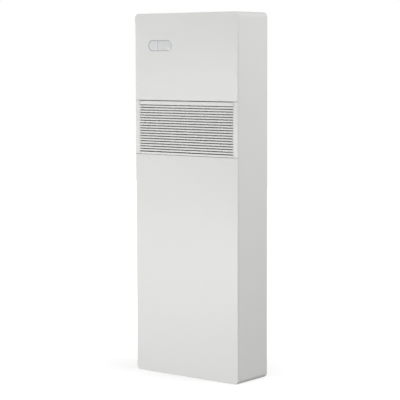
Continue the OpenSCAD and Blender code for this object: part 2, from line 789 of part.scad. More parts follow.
// Frame of the outlet: two plain strips, their inner walls and a ring behind the insert
module grille_frame() color("white") {
  difference() {
    front_skin(grille_z0, grille_z1);
    block([-window_x, front_y - over, grille_z0 - over], [window_x, panel_back_y + over, grille_z1 + over]);
  }
  both_sides() block([window_x, panel_back_y, grille_z0], [window_x + ring_t, insert_back_y + ring_t, grille_z1]);
  difference() {
    block([-window_x, insert_back_y, grille_z0], [window_x, insert_back_y + ring_t, grille_z1]);
    block([ring_w - window_x, insert_back_y - over, grille_z0 + ring_w], [window_x - ring_w, insert_back_y + ring_t + over, grille_z1 - ring_w]);
  }
}

// Slat section: a flat front with round edges that narrows towards a raised tail
function slat_points() = let (h = slat_h / 2, r = slat_round) concat(
  [for (a = [180 : 22.5 : 270]) [r, r - h] + polar(r, a)],
  [[slat_d, slat_rise - slat_tail / 2], [slat_d, slat_rise + slat_tail / 2]],
  [for (a = [90 : 22.5 : 180]) [r, h - r] + polar(r, a)]);

// Moulded insert of the outlet: band, foot, end walls, slats and the ribs behind them
module outlet_grille() color("whitesmoke") {
  for (z = [[slots_z1, insert_z1], [grille_z0, slots_z0]])
    block([-insert_x, front_y, z[0]], [insert_x, front_y + insert_t, z[1]]);
  for (z = [insert_z1 - insert_t, grille_z0])
    block([-insert_x, front_y + insert_t, z], [insert_x, insert_back_y, z + insert_t]);
  both_sides() block([insert_x - insert_t, front_y, grille_z0], [insert_x, insert_back_y, insert_z1]);
  for (i = [1 : slat_count]) translate([0, front_y, slots_z0 - slat_h / 2 + i * slat_pitch])
    along_x(-insert_x + insert_t, insert_x - insert_t) polygon(slat_points());
  for (i = [1 : rib_count]) translate([2 * insert_x * i / (rib_count + 1) - insert_x, 0, 0])
    block([-rib_t / 2, front_y + slat_d - insert_t, grille_z0], [rib_t / 2, insert_back_y, insert_z1]);
}

// Display: bezel, key, lens and board
module display_bezel() color("darkgray") {
  along_y(front_y, front_y + bezel_d) difference() { pill(0); pill(bezel_w); }
  along_y(panel_back_y, panel_back_y + panel_t) difference() { pill(-bezel_flange); pill(0); }
  along_y(front_y + lens_set + lens_t, front_y + bezel_d) difference() { pill(bezel_w); pill(2 * bezel_w); }
}
module window_piece(x0, x1) along_y(front_y + lens_set, front_y + lens_set + lens_t) intersection() {
  pill(bezel_w + run_gap);
  translate([x0, pill_z - pill_h / 2]) square([x1 - x0, pill_h]);
}
module touch_key() color("aliceblue") window_piece(-pill_x - pill_w / 2, key_edge);
module display_lens() color("gray") window_piece(key_edge + key_gap, pill_w / 2 - pill_x);

module display_board() color("green") {
  along_y(front_y + bezel_d, front_y + bezel_d + board_t) pill(bezel_w);
  for (i = [0 : 7]) translate([key_edge + board_t + i * bezel_d, 0, pill_z])
    block([0, front_y + bezel_d - board_t, -board_t], [bezel_d / 2, front_y + bezel_d, board_t]);
}

// Intake grille in the top, with the slot that the filter comes out of
module top_intake_grille() color("white") {
  x = intake_w / 2;
  y0 = front_y + intake_front;
  y1 = back_y - intake_rear;
  bars_y0 = y0 + loose_gap + intake_rim;
  bars_y1 = slot_y - filter_slot / 2 - intake_rim;
  step = (bars_y1 - bars_y0) / (bar_count + 1);
  difference() {
    union() {
      block([loose_gap - x, y0 + loose_gap, body_h - intake_t], [x - loose_gap, y1 - loose_gap, body_h]);
      block([-x - intake_flange, y0 - intake_flange, body_h - intake_t], [x + intake_flange, y1 + intake_flange, body_h - sheet_t]);
    }
    block([loose_gap + intake_rim - x, bars_y0, body_h - intake_t - over], [x - loose_gap - intake_rim, bars_y1, body_h + over]);
    block([-filter_half - loose_gap, slot_y - filter_slot / 2, body_h - intake_t - over], [filter_half + loose_gap, slot_y + filter_slot / 2, body_h + over]);
  }
  for (i = [1 : bar_count]) translate([0, bars_y0 + i * step, 0])
    block([loose_gap + intake_rim - x, -bar_t / 2, body_h - bar_h], [x - loose_gap - intake_rim, bar_t / 2, body_h]);
  for (i = [0 : intake_rib_count - 1]) translate([(i - (intake_rib_count - 1) / 2) * intake_w / intake_rib_count, 0, 0])
    block([-rib_t / 2, bars_y0 - intake_rim / 2, body_h - bar_h], [rib_t / 2, bars_y1 + intake_rim / 2, body_h - intake_t]);
}

// Everything below is drawn upright and then leant back with the evaporator
module leant() translate([0, evap_y, evap_z]) rotate([-evap_tilt, 0, 0]) children();
module filter_frame() color("white") leant() translate([0, -filter_off, 0]) difference() {
  union() {
    along_y(-filter_t / 2, filter_t / 2) {
      difference() {
        translate([-filter_half, 0]) square([2 * filter_half, filter_z1]);
        translate([-mesh_x, filter_border]) square([2 * mesh_x, filter_z1 - 2 * filter_border]);
      }
      for (i = [1 : 3]) translate([(i - 2) * mesh_x / 2 - filter_bar / 2, 0]) square([filter_bar, filter_z1]);
      for (i = [1 : 3]) translate([-filter_half, i * filter_z1 / 4]) square([2 * filter_half, filter_bar]);
      translate([-tab_w / 2, filter_z1]) square([tab_w, tab_h]);
    }
  }
  along_y(-mesh_t / 2, mesh_t / 2) translate([-mesh_x - seat_gap, filter_border - seat_gap])
    square([2 * (mesh_x + seat_gap), filter_z1 - 2 * filter_border + 2 * seat_gap]);
}
module filter_mesh() color("dimgray") leant() translate([0, -filter_off, 0]) along_y(-mesh_t / 2, mesh_t / 2)
  translate([-mesh_x, filter_border]) square([2 * mesh_x, filter_z1 - 2 * filter_border]);

// Fin block from x0 to x1 with grooves in its front and back
module fin_block(x0, x1, y0, y1, z0, z1) difference() {
  block([x0, y0, z0], [x1, y1, z1]);
  for (i = [0 : floor((x1 - x0 - fin_gap) / fin_pitch) - 1]) let (x = x0 + fin_pitch * (i + 0.5)) {
    block([x, y0 - over, z0 - over], [x + fin_gap, y0 + fin_depth, z1 + over]);
    block([x, y1 - fin_depth, z0 - over], [x + fin_gap, y1 + over, z1 + over]);
  }
}
// Return bend of two tube rows, at the right of an end plate
module return_bend(p, pitch) multmatrix([[0, 1, 0, p.x + stub_l], [0, 0, 1, p.y], [1, 0, 0, p.z], [0, 0, 0, 1]]) {
  rotate_extrude(angle = 180) translate([pitch / 2, 0]) circle(tube_r);
  for (s = [-1, 1]) translate([s * pitch / 2, 0, 0]) rotate([90, 0, 0]) cylinder(h = stub_l, r = tube_r);
}
module evaporator_fins() color("lightblue") leant() fin_block(-coil_half, coil_half, -coil_t / 2, coil_t / 2, 0, evap_l);
module evaporator_tubes() color("peru") leant() {
  for (i = [1 : 2 : evap_rows - 3]) return_bend([plate_x, 0, row_at(i + 0.5, evap_pitch)], evap_pitch);
  mirror([1, 0, 0]) for (i = [0 : 2 : evap_rows - 2]) return_bend([plate_x, 0, row_at(i + 0.5, evap_pitch)], evap_pitch);
}

// End plates of the evaporator, with the foot in the tray, the tab at the rear and the filter's channels
module evaporator_end_plates() color("silver") both_sides() {
  channel = filter_t / 2 + guide_t;
  leant() difference() {
    union() {
      block([coil_half, -filter_off - channel, -guide_t], [plate_x, coil_t / 2, evap_l]);
      block([coil_half - guide_w, -filter_off - channel, -guide_t], [coil_half, channel - filter_off, evap_l]);
    }
    block([coil_half - guide_w - over, -filter_off - filter_t / 2 - loose_gap / 2, 0],
      [filter_half + loose_gap, -filter_off + filter_t / 2 + loose_gap / 2, evap_l + over]);
  }
  block([coil_half, evap_y - coil_t / 2, tray_z + tray_t], [plate_x, evap_y + coil_t / 4, evap_z]);
  block([coil_half, evap_y + (evap_l - 2 * coil_t) * sin(evap_tilt), evap_z + (evap_l - 2 * coil_t) * cos(evap_tilt)],
    [plate_x, rear_in_y, evap_z + (evap_l - coil_t) * cos(evap_tilt)]);
}

// Tray under the evaporator, and the tube that drains it into the base pan
module drip_tray() color("whitesmoke") difference() {
  block([-tray_half, tray_y, tray_z], [tray_half, tray_y + tray_d, tray_z + tray_h]);
  block([tray_t - tray_half, tray_y + tray_t, tray_z + tray_t], [tray_half - tray_t, tray_y + tray_d - tray_t, tray_z + tray_h + over]);
  translate([drain_x, drain_y, tray_z - over]) cylinder(h = tray_t + 2 * over, r = drain_bore_r);
}
module drain_tube() color("dimgray") translate([drain_x, drain_y, 0]) along_z(sheet_t + pan_h / 2, tray_z) difference() {
  circle(drain_r);
  circle(drain_bore_r);
}

// Air guide: it opens like a snail round the fan's back and runs on as the outlet's floor
duct_front_y = insert_back_y + ring_t + loose_gap;
bend_y = vane_y + rail_w / 2 + 2 * guide_t;
function guide_line(out, a0) = concat(
  [[rear_in_y, fan_z + guide_at(guide_a0) * sin(guide_a0) - out]],
  [for (a = [a0 : -guide_step : -90]) [fan_y, fan_z] + polar(guide_at(a) + out, a)],
  [[bend_y, rail_z0 - out], [duct_front_y, rail_z0 - out]]);
module air_guide() color("ghostwhite") along_x(-duct_x, duct_x) {
  under = guide_line(duct_t, guide_a0 - guide_step);
  polygon(concat(guide_line(0, guide_a0), [for (i = [len(under) - 1 : -1 : 0]) under[i]]));
}

// Tongue: the outlet's ceiling, bent down to an edge close to the fan
tip = [fan_y, fan_z] + polar(fan_r + tongue_gap + duct_t / 2, tongue_a);
module air_tongue() color("ghostwhite") difference() {
  along_x(-duct_x, duct_x) {
    d = (tip - [bend_y, roof_z]) / norm(tip - [bend_y, roof_z]);
    n = [-d.y, d.x] * duct_t / 2;
    polygon([[duct_front_y, roof_z], [bend_y, roof_z], tip - n, tip + n, [bend_y, roof_z + duct_t] + [n.x, 0], [duct_front_y, roof_z + duct_t]]);
    translate(tip) circle(duct_t / 2);
  }
  translate([vane_x(0), vane_y, roof_z - over]) cylinder(h = duct_t + 2 * over, r = pin_r + loose_gap);
}

module duct_end_walls() color("ghostwhite") difference() {
  both_sides() block([duct_x, duct_front_y, bulkhead_z1], [duct_x + wall_t, rear_in_y, tray_z]);
  translate([0, fan_y, fan_z]) {
    rod_x(-duct_x - wall_t - over, 0, bearing_r + seat_gap);
    rod_x(0, duct_x + wall_t + over, hub_r);
  }
}

// Cross-flow fan on two steel stubs
disc_step = (2 * fan_half - disc_t) / (disc_count - 1);
module crossflow_fan() color("slategray") translate([0, fan_y, fan_z]) difference() {
  union() {
    along_x(-fan_half, fan_half) for (i = [0 : blade_count - 1]) rotate(i * 360 / blade_count)
      polygon(blade_points(fan_r - blade_ring, fan_r - blade_t / 2, blade_sweep, blade_t));
    for (i = [0 : disc_count - 1]) let (x = i * disc_step - fan_half) along_x(x, x + disc_t) difference() {
      circle(fan_r);
      if (i > 0 && i < disc_count - 1) circle(fan_r - blade_ring - blade_t);
    }
    both_sides() rod_x(fan_half - hub_l, fan_half, hub_r);
  }
  both_sides() rod_x(fan_half - hub_l - over, fan_half + over, shaft_r + seat_gap);
}
shaft_reach = duct_x + wall_t + hub_l;
module crossflow_shafts() color("silver") translate([0, fan_y, fan_z]) {
  rod_x(fan_half - hub_l, shaft_reach, shaft_r);
  rod_x(-duct_x - wall_t - stub_l, hub_l - fan_half, shaft_r);
}
module fan_bearing() color("dimgray") translate([0, fan_y, fan_z]) difference() {
  union() {
    rod_x(-duct_x - wall_t, -duct_x + stub_l, bearing_r);
    rod_x(stub_l - duct_x - wall_t - bearing_l, -duct_x - wall_t, bearing_r + bearing_l / 2);
  }
  rod_x(-duct_x - wall_t - bearing_l, fan_half, shaft_r + run_gap);
}
module indoor_fan_motor() color("gray") translate([duct_x + wall_t, fan_y, fan_z]) difference() {
  rotate([90, 0, 90]) rotate_extrude() intersection() {
    round_rect(-motor_r, motor_r, 0, motor_l, bend_r);
    square([motor_r, motor_l]);
  }
  rod_x(-over, hub_l + over, shaft_r + run_gap);
}

// Rails that hold the vanes' pins
module vane_rails() color("whitesmoke") difference() {
  for (z = [rail_z0, rail_z1]) block([-duct_x, vane_y - rail_w / 2, z], [duct_x, vane_y + rail_w / 2, z + rail_t]);
  for (i = [0 : vane_count - 1]) translate([vane_x(i), vane_y, rail_z0 - over]) cylinder(h = rail_z1 + rail_t - rail_z0 + 2 * over, r = pin_r + run_gap);
}

// Vane: a blade with a cut-back top, two pivot pins and a crank pin for the link bar
vane_z0 = rail_z0 + rail_t + loose_gap;
vane_z1 = rail_z1 - loose_gap;
shoulder_z = vane_z1 - neck_h;
drive_l = duct_t + rail_t + hub_l / 2;
module vane_outline(half) {
  square([vane_t, 2 * half - vane_t], center = true);
  for (y = [vane_t / 2 - half, half - vane_t / 2]) translate([0, y]) circle(vane_t / 2);
}
module steering_vane(i) color("whitesmoke") translate([vane_x(i), vane_y, 0]) {
  along_z(vane_z0, shoulder_z) vane_outline(vane_chord / 2);
  along_z(shoulder_z, vane_z1) vane_outline(neck_half);
  translate([0, 0, rail_z0 + rail_t - pin_l]) cylinder(h = pin_l + loose_gap, r = pin_r);
  translate([0, 0, vane_z1]) cylinder(h = loose_gap + (i == 0 ? drive_l : pin_l), r = pin_r);
  translate([0, crank, shoulder_z]) cylinder(h = link_t + 2 * loose_gap, r = crank_r);
}
module steering_vane_1() steering_vane(0);
module steering_vane_2() steering_vane(1);
module steering_vane_3() steering_vane(2);
module steering_vane_4() steering_vane(3);
module steering_vane_5() steering_vane(4);

module vane_link() color("gray") along_z(shoulder_z + loose_gap, shoulder_z + loose_gap + link_t) difference() {
  union() {
    translate([vane_x(0), vane_y + crank - link_w / 2]) square([vane_x(vane_count - 1) - vane_x(0), link_w]);
    for (i = [0, vane_count - 1]) translate([vane_x(i), vane_y + crank]) circle(link_w / 2);
  }
  for (i = [0 : vane_count - 1]) translate([vane_x(i), vane_y + crank]) circle(crank_r + run_gap);
}
module vane_motor() color("silver") translate([vane_x(0), vane_y, roof_z + duct_t]) difference() {
  union() {
    cylinder(h = step_h, r = step_r);
    block([-step_r - link_w, -link_w / 2, 0], [step_r + link_w, link_w / 2, duct_t]);
  }
  translate([0, 0, -over]) cylinder(h = hub_l / 2 + over + seat_gap, r = pin_r + run_gap);
}

// Bulkhead between the indoor and the outdoor section
module bulkhead() color("dimgray") difference() {
  block([loose_gap - inner_x, front_lip_y + sheet_t, bulkhead_z0], [inner_x - loose_gap, rear_lip_y, bulkhead_z1]);
  for (p = [[riser_x, gas_y, gas_r], [liquid_x, liquid_y, liquid_r], [drain_x, drain_y, drain_r]])
    translate([p.x, p.y, bulkhead_z0 - over]) cylinder(h = bulkhead_t + 2 * over, r = p.z + loose_gap);
}

module condenser_fins() color("lightblue") fin_block(cond_x0 + sheet_t, cond_x1 - sheet_t, cond_y0, cond_y1, cond_z0, cond_z1);
module condenser_tubes() color("peru") {
  y = (cond_y0 + cond_y1) / 2;
  for (i = [1 : 2 : cond_rows - 3]) return_bend([cond_x1, y, cond_z0 + row_at(i + 0.5, cond_pitch)], cond_pitch);
  for (i = [0 : 2 : cond_rows - 2]) mirror([1, 0, 0]) return_bend([-cond_x0, y, cond_z0 + row_at(i + 0.5, cond_pitch)], cond_pitch);
}
module condenser_end_plates() color("silver") for (x = [cond_x0, cond_x1 - sheet_t])
  block([x, cond_y0, pan_floor], [x + sheet_t, cond_y1, shelf_z]);

// Bent sheet that closes the intake chamber towards the compressor and the fan
module intake_baffle() color("gainsboro") {
  block([-baffle_x, cond_y1, sheet_t + pan_h], [sheet_t - baffle_x, rear_lip_y, shelf_z]);
  block([cond_x1 - sheet_t, cond_y1, sheet_t + pan_h], [-baffle_x, cond_y1 + sheet_t, shelf_z]);
  block([loose_gap - inner_x, cond_y0, shelf_z], [sheet_t - baffle_x, rear_lip_y, shelf_z + sheet_t]);
}

// Scroll seen from the front: a spiral and the straight throat down to the exhaust duct
module scroll_region(out) {
  polygon(concat([[wheel_x, wheel_z]], [for (t = [0 : 10 : scroll_turn])
    [wheel_x, wheel_z] + polar(scroll_at(t) + out, -cutoff_a - t)]));
  translate([wheel_x, wheel_z]) circle(wheel_r + scroll_gap / 2);
  translate([throat_x0 - out, exhaust_z1]) square([throat_x1 - throat_x0 + 2 * out, wheel_z - exhaust_z1]);
}
module outdoor_fan_wheel() color("slategray") translate([wheel_x, 0, wheel_z]) difference() {
  union() {
    along_y(wheel_y0, wheel_y1) for (i = [0 : wheel_blades - 1]) rotate(i * 360 / wheel_blades)
      polygon(blade_points(wheel_r - wheel_ring, wheel_r - wheel_t / 2, wheel_sweep, wheel_t));
    rod_y(wheel_y1 - wheel_t, wheel_y1, wheel_r);
    along_y(wheel_y0, wheel_y0 + wheel_t) difference() { circle(wheel_r); circle(wheel_r - wheel_ring); }
    rod_y(wheel_y1 - 2 * hub_l, wheel_y1, wheel_hub_r);
  }
  rod_y(wheel_y1 - 2 * hub_l - over, wheel_y1 + over, wheel_shaft_r + seat_gap);
}
module outdoor_fan_shaft() color("silver") translate([wheel_x, 0, wheel_z]) rod_y(wheel_y1 - 2 * hub_l, scroll_y1 + scroll_t + hub_l, wheel_shaft_r);
module outdoor_fan_motor() color("gray") translate([wheel_x, scroll_y1 + scroll_t, wheel_z]) difference() {
  rotate([-90, 0, 0]) rotate_extrude() intersection() {
    round_rect(-wheel_motor_r, wheel_motor_r, 0, wheel_motor_l, bend_r);
    square([wheel_motor_r, wheel_motor_l]);
  }
  rod_y(-over, hub_l + over, wheel_shaft_r + run_gap);
}
module scroll_housing() color("gainsboro") {
  along_y(scroll_y0, scroll_y1) difference() { scroll_region(scroll_t); scroll_region(0); }
  along_y(scroll_y1, scroll_y1 + scroll_t) difference() {
    translate([scroll_x0, exhaust_z1]) square([scroll_x1 - scroll_x0, scroll_z1 - exhaust_z1]);
    translate([wheel_x, wheel_z]) circle(wheel_hub_r);
  }
  inset = foot_r + scroll_t;
  for (p = [[scroll_x0 + inset, exhaust_z1 + inset], [scroll_x0 + inset, scroll_z1 - inset], [scroll_x1 - inset, scroll_z1 - inset]])
    translate([p.x, 0, p.y]) rod_y(scroll_y1 + scroll_t, rear_in_y, foot_r);
}
module scroll_cover() color("gainsboro") {
  along_y(scroll_y0 - scroll_t, scroll_y0) difference() {
    scroll_region(scroll_t);
    translate([wheel_x, wheel_z]) circle(inlet_r);
  }
  translate([wheel_x, 0, wheel_z]) along_y(scroll_y0, scroll_y0 + inlet_lip) difference() { circle(inlet_r + scroll_t); circle(inlet_r); }
}

// Duct from the scroll's throat to the right-hand port
module exhaust_duct() color("gainsboro") difference() {
  x0 = port_x - exhaust_half;
  x1 = port_x + exhaust_half;
  z0 = port_z - exhaust_half;
  block([x0, scroll_y0 - scroll_t, z0], [x1, rear_in_y, exhaust_z1]);
  block([x0 + exhaust_t, scroll_y0 - scroll_t + exhaust_t, z0 + exhaust_t], [x1 - exhaust_t, rear_in_y + over, exhaust_z1 - exhaust_t]);
  block([throat_x0, scroll_y0, exhaust_z1 - exhaust_t - over], [throat_x1, scroll_y1, exhaust_z1 + over]);
}
module port_collars() color("darkgray") both_sides() translate([port_x, 0, port_z]) difference() {
  union() {
    rod_y(back_y - port_l, back_y, port_r + port_wall);
    rod_y(rear_in_y - port_wall, rear_in_y, port_r + port_wall + port_flange);
  }
  rod_y(back_y - port_l - over, back_y + over, port_r);
}

// Compressor on its three-armed plate
module capsule(r, h, round) rotate_extrude() intersection() {
  round_rect(-r, r, 0, h, round);
  square([r, h]);
}
module compressor() color("dimgray") difference() {
  union() {
    translate([shell_x, shell_y, shell_z0]) capsule(shell_r, shell_h, shell_round);
    translate([shell_x, shell_y, plate_z]) linear_extrude(foot_t) {
      circle(shell_r - shell_round / 2);
      for (a = [90, 210, 330]) rotate(a) {
        translate([0, -mount_r]) square([foot_ring, 2 * mount_r]);
        translate([foot_ring, 0]) circle(mount_r);
      }
    }
    translate([0, shell_y, suction_z]) rod_x(suction_x, shell_x, gas_r + foot_t / 2);
    translate([shell_x, shell_y, shell_z1 - foot_t]) cylinder(h = discharge_z - shell_z1 + foot_t, r = gas_r + foot_t / 2);
    translate([shell_x + shell_round, shell_y, shell_z1 - foot_t]) cylinder(h = shell_round / 2, r = shell_round / 2);
  }
  for (p = mount_points) translate([p.x, p.y, plate_z - over]) cylinder(h = foot_t + 2 * over, r = bolt_r + loose_gap);
}
module accumulator() color("dimgray") {
  translate([acc_x, shell_y, acc_z0]) capsule(acc_r, acc_z1 - acc_z0, acc_r / 2);
  pipe([[acc_x, shell_y, acc_z0 + foot_t], [acc_x, shell_y, suction_z], [suction_x, shell_y, suction_z]], gas_r, pipe_bend);
}
module compressor_mounts() color("black") for (p = mount_points) translate([p.x, p.y, plate_z - mount_h]) difference() {
  union() {
    cylinder(h = mount_h / 2, r1 = mount_r, r2 = mount_r - foot_t);
    translate([0, 0, mount_h / 2]) cylinder(h = mount_h / 2, r1 = mount_r - foot_t, r2 = mount_r);
  }
  translate([0, 0, -over]) cylinder(h = mount_h + 2 * over, r = bolt_r + seat_gap);
}
module compressor_bolts() color("silver") for (p = mount_points) translate([p.x, p.y, 0]) {
  translate([0, 0, pan_floor + stub_l]) cylinder(h = shell_z0 - pan_floor - stub_l, r = bolt_r);
  translate([0, 0, shell_z0]) cylinder(h = bolt_head_h, r = 2 * bolt_r, $fn = 6);
}

// Changeover valve, drier, expansion valve and the pipes between them
module four_way_valve() color("goldenrod") translate([shell_x, gas_y, valve_z]) {
  rod_x(-valve_l / 2, valve_l / 2, valve_r);
  for (s = [-1, 0, 1]) translate([s * valve_pitch, 0, 0]) cylinder(h = valve_r + valve_stub, r = stub_r);
  translate([0, 0, -valve_r - valve_stub]) cylinder(h = valve_r + valve_stub, r = stub_r);
}
module filter_drier() color("peru") translate([drier_x1 - drier_l, liquid_y, liquid_z]) rotate([0, 90, 0]) capsule(drier_r, drier_l, drier_r / 2);
module expansion_valve() color("goldenrod") translate([exp_x, liquid_y, liquid_z]) {
  translate([0, 0, -exp_r]) cylinder(h = 2 * exp_r, r = exp_r);
  translate([0, 0, exp_r]) cylinder(h = exp_h, r = exp_r + foot_t / 2);
}
module refrigerant_pipes() color("peru") {
  hot = cond_point(cond_rows - 1);
  cold = cond_point(0);
  out = evap_point(plate_x, evap_rows - 1);
  feed = evap_point(plate_x, 0);
  mid_z = (discharge_z + valve_foot) / 2;
  pipe([[shell_x, shell_y, discharge_z], [shell_x, shell_y, mid_z], [shell_x, gas_y, mid_z], [shell_x, gas_y, valve_foot]], gas_r, pipe_bend);
  pipe([[shell_x, gas_y, valve_top], [shell_x, gas_y, run_z], [shell_x, shell_y, run_z], [acc_x, shell_y, run_z], [acc_x, shell_y, acc_z1]], gas_r, pipe_bend);
  pipe([[shell_x - valve_pitch, gas_y, valve_top], [shell_x - valve_pitch, gas_y, run_z], [gap_x, gas_y, run_z],
    [gap_x, gas_y, hot.z], [gap_x, hot.y, hot.z], hot], gas_r, pipe_bend);
  pipe([[shell_x + valve_pitch, gas_y, valve_top], [shell_x + valve_pitch, gas_y, run_z], [riser_x, gas_y, run_z],
    [riser_x, gas_y, out.z], [riser_x, out.y, out.z], out], gas_r, pipe_bend);
  pipe([feed, [liquid_x, feed.y, feed.z], [liquid_x, liquid_y, feed.z], [liquid_x, liquid_y, liquid_z], [drier_x1, liquid_y, liquid_z]], liquid_r, pipe_bend);
  pipe([[drier_x1 - drier_l, liquid_y, liquid_z], [exp_x + exp_r, liquid_y, liquid_z]], liquid_r, pipe_bend);
  pipe([[exp_x - exp_r, liquid_y, liquid_z], [gap_x, liquid_y, liquid_z], [gap_x, liquid_y, cold.z], [gap_x, cold.y, cold.z], cold], liquid_r, pipe_bend);
}

// Control box, open at the front, with its board on four posts
module control_box() color("silver") difference() {
  union() {
    difference() {
      block([box_x0, box_y0, box_z0], [box_x1, box_y1, bulkhead_z0]);
      block([box_x0 + box_t, box_y0 - over, box_z0 + box_t], [box_x1 - box_t, box_y1 - box_t, bulkhead_z0 - box_t]);
    }
    for (x = [box_x0 + post_l, box_x1 - post_l], z = [board_z0 + post_l, bulkhead_z0 - 2 * post_l])
      translate([x, 0, z]) rod_y(box_y1 - box_t - post_l, box_y1 - box_t, post_l / 3);
  }
  translate([gland_x, 0, gland_z]) rod_y(box_y1 - box_t - over, box_y1 + over, gland_r + run_gap);
}
// Components on the board: left edge, foot, width, height and depth, as shares of the board
part_shares = [[0.08, 0.6, 0.25, 0.2, 0.17], [0.08, 0.04, 0.8, 0.12, 0.13], [0.48, 0.5, 0.46, 0.34, 0.02]];
can_shares = [0.17, 0.37, 0.57];
can_z_share = 0.32;
fin_shares = [0.5, 0.56, 0.62, 0.68, 0.74, 0.8, 0.86, 0.92];
module control_board() color("green") {
  w = box_x1 - box_x0 - 2 * post_l;
  h = bulkhead_z0 - board_z0 - post_l;
  heat = part_shares[2];
  translate([box_x0 + post_l, box_y1 - box_t - post_l - board_t, board_z0]) {
    cube([w, board_t, h]);
    for (q = part_shares) translate([q[0] * w, -q[4] * w, q[1] * h]) cube([q[2] * w, q[4] * w, q[3] * h]);
    for (q = fin_shares) translate([q * w, -can_z_share * w, heat[1] * h]) cube([board_t, can_z_share * w, heat[3] * h]);
    for (q = can_shares) translate([q * w, 0, can_z_share * h]) rod_y(-w / 4, 0, w / 14);
  }
}
module cable_gland() color("black") translate([gland_x, 0, gland_z]) difference() {
  union() {
    rod_y(back_y - gland_l, back_y, gland_r);
    rod_y(box_y1 - box_t - port_wall, box_y1 - box_t, gland_r + port_wall);
  }
  rod_y(back_y - gland_l - over, back_y + over, gland_bore_r);
}

casing();
rear_panel();
rear_screws();
base_pan();
upper_front_panel();
lower_front_panel();
panel_clips();
grille_frame();
outlet_grille();
display_bezel();
display_lens();
touch_key();
display_board();
top_intake_grille();
filter_frame();
filter_mesh();
evaporator_fins();
evaporator_tubes();
evaporator_end_plates();
drip_tray();
drain_tube();
air_guide();
air_tongue();
duct_end_walls();
crossflow_fan();
crossflow_shafts();
fan_bearing();
indoor_fan_motor();
vane_rails();
steering_vane_1();
steering_vane_2();
steering_vane_3();
steering_vane_4();
steering_vane_5();
vane_link();
vane_motor();
bulkhead();
condenser_fins();
condenser_tubes();
condenser_end_plates();
intake_baffle();
outdoor_fan_wheel();
outdoor_fan_shaft();
outdoor_fan_motor();
scroll_housing();
scroll_cover();
exhaust_duct();
port_collars();
compressor();
accumulator();
compressor_mounts();
compressor_bolts();
four_way_valve();
filter_drier();
expansion_valve();
refrigerant_pipes();
control_box();
control_board();
cable_gland();
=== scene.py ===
import json
import math
import bpy
import bmesh
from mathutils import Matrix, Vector

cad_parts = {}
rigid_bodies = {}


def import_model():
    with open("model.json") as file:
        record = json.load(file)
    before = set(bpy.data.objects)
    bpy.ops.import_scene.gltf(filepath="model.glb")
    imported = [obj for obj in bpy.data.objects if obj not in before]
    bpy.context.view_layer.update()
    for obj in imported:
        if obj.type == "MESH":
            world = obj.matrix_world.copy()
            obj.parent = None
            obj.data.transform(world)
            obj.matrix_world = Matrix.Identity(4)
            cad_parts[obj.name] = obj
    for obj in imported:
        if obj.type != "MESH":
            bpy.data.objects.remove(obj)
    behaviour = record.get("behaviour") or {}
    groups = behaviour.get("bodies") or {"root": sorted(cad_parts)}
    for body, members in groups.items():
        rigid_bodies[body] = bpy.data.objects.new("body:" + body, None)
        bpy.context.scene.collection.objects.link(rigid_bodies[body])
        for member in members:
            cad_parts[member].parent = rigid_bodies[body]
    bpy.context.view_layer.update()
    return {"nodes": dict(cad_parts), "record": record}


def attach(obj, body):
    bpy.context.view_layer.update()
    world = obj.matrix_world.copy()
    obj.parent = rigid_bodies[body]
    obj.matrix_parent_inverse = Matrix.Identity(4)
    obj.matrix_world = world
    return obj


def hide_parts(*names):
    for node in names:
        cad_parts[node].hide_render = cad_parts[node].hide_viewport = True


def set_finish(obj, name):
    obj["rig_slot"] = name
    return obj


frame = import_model()
print("stage: frame loaded")

# helpers for modelling; over is how far a cutting tool runs past what it cuts, skim is a smaller overrun
over = 0.01
skim = 0.002
bevelShare = 0.9995
quarterTurn = math.pi / 2


def clearSelection():
    if bpy.context.object and bpy.context.object.mode != "OBJECT":
        bpy.ops.object.mode_set(mode="OBJECT")
    bpy.ops.object.select_all(action="DESELECT")


def openEdit(piece):
    clearSelection()
    bpy.context.view_layer.objects.active = piece
    piece.select_set(True)
    bpy.ops.object.mode_set(mode="EDIT")


def closeEdit():
    bpy.ops.object.mode_set(mode="OBJECT")


def block(name, low, high):
    # a box from one corner to the other, its object left at the origin
    clearSelection()
    bpy.ops.mesh.primitive_cube_add(size=1, location=(0, 0, 0))
    piece = bpy.context.object
    piece.name = name
    low, high = Vector(low), Vector(high)
    bpy.ops.object.mode_set(mode="EDIT")
    bpy.ops.mesh.select_all(action="SELECT")
    bpy.ops.transform.resize(value=tuple(high - low))
    bpy.ops.transform.translate(value=tuple((high + low) / 2))
    closeEdit()
    return piece


def rod(name, start, end, radius, sides=48):
    # a cylinder along X, Y or Z between two points
    start, end = Vector(start), Vector(end)
    way = end - start
    clearSelection()
    bpy.ops.mesh.primitive_cylinder_add(vertices=sides, radius=radius, depth=way.length, location=(0, 0, 0))
    piece = bpy.context.object
    piece.name = name
    bpy.ops.object.mode_set(mode="EDIT")
    bpy.ops.mesh.select_all(action="SELECT")
    if abs(way.x) > abs(way.z):
        bpy.ops.transform.rotate(value=quarterTurn, orient_axis="Y", center_override=(0, 0, 0))
    elif abs(way.y) > abs(way.z):
        bpy.ops.transform.rotate(value=quarterTurn, orient_axis="X", center_override=(0, 0, 0))
    bpy.ops.transform.translate(value=tuple((start + end) / 2))
    closeEdit()
    return piece


def roundEdges(piece, test, radius, steps=4):
    # bevels the edges whose two ends pass the test
    openEdit(piece)
    bpy.ops.mesh.select_mode(type="EDGE")
    bpy.ops.mesh.select_all(action="DESELECT")
    mesh = bmesh.from_edit_mesh(piece.data)
    for edge in mesh.edges:
        edge.select_set(test(edge.verts[0].co, edge.verts[1].co))
    bmesh.update_edit_mesh(piece.data)
    bpy.ops.mesh.bevel(offset=radius, segments=steps, affect="EDGES", clamp_overlap=False)
    closeEdit()
    return piece


def near(a, b, reach=1e-5):
    return abs(a - b) < reach


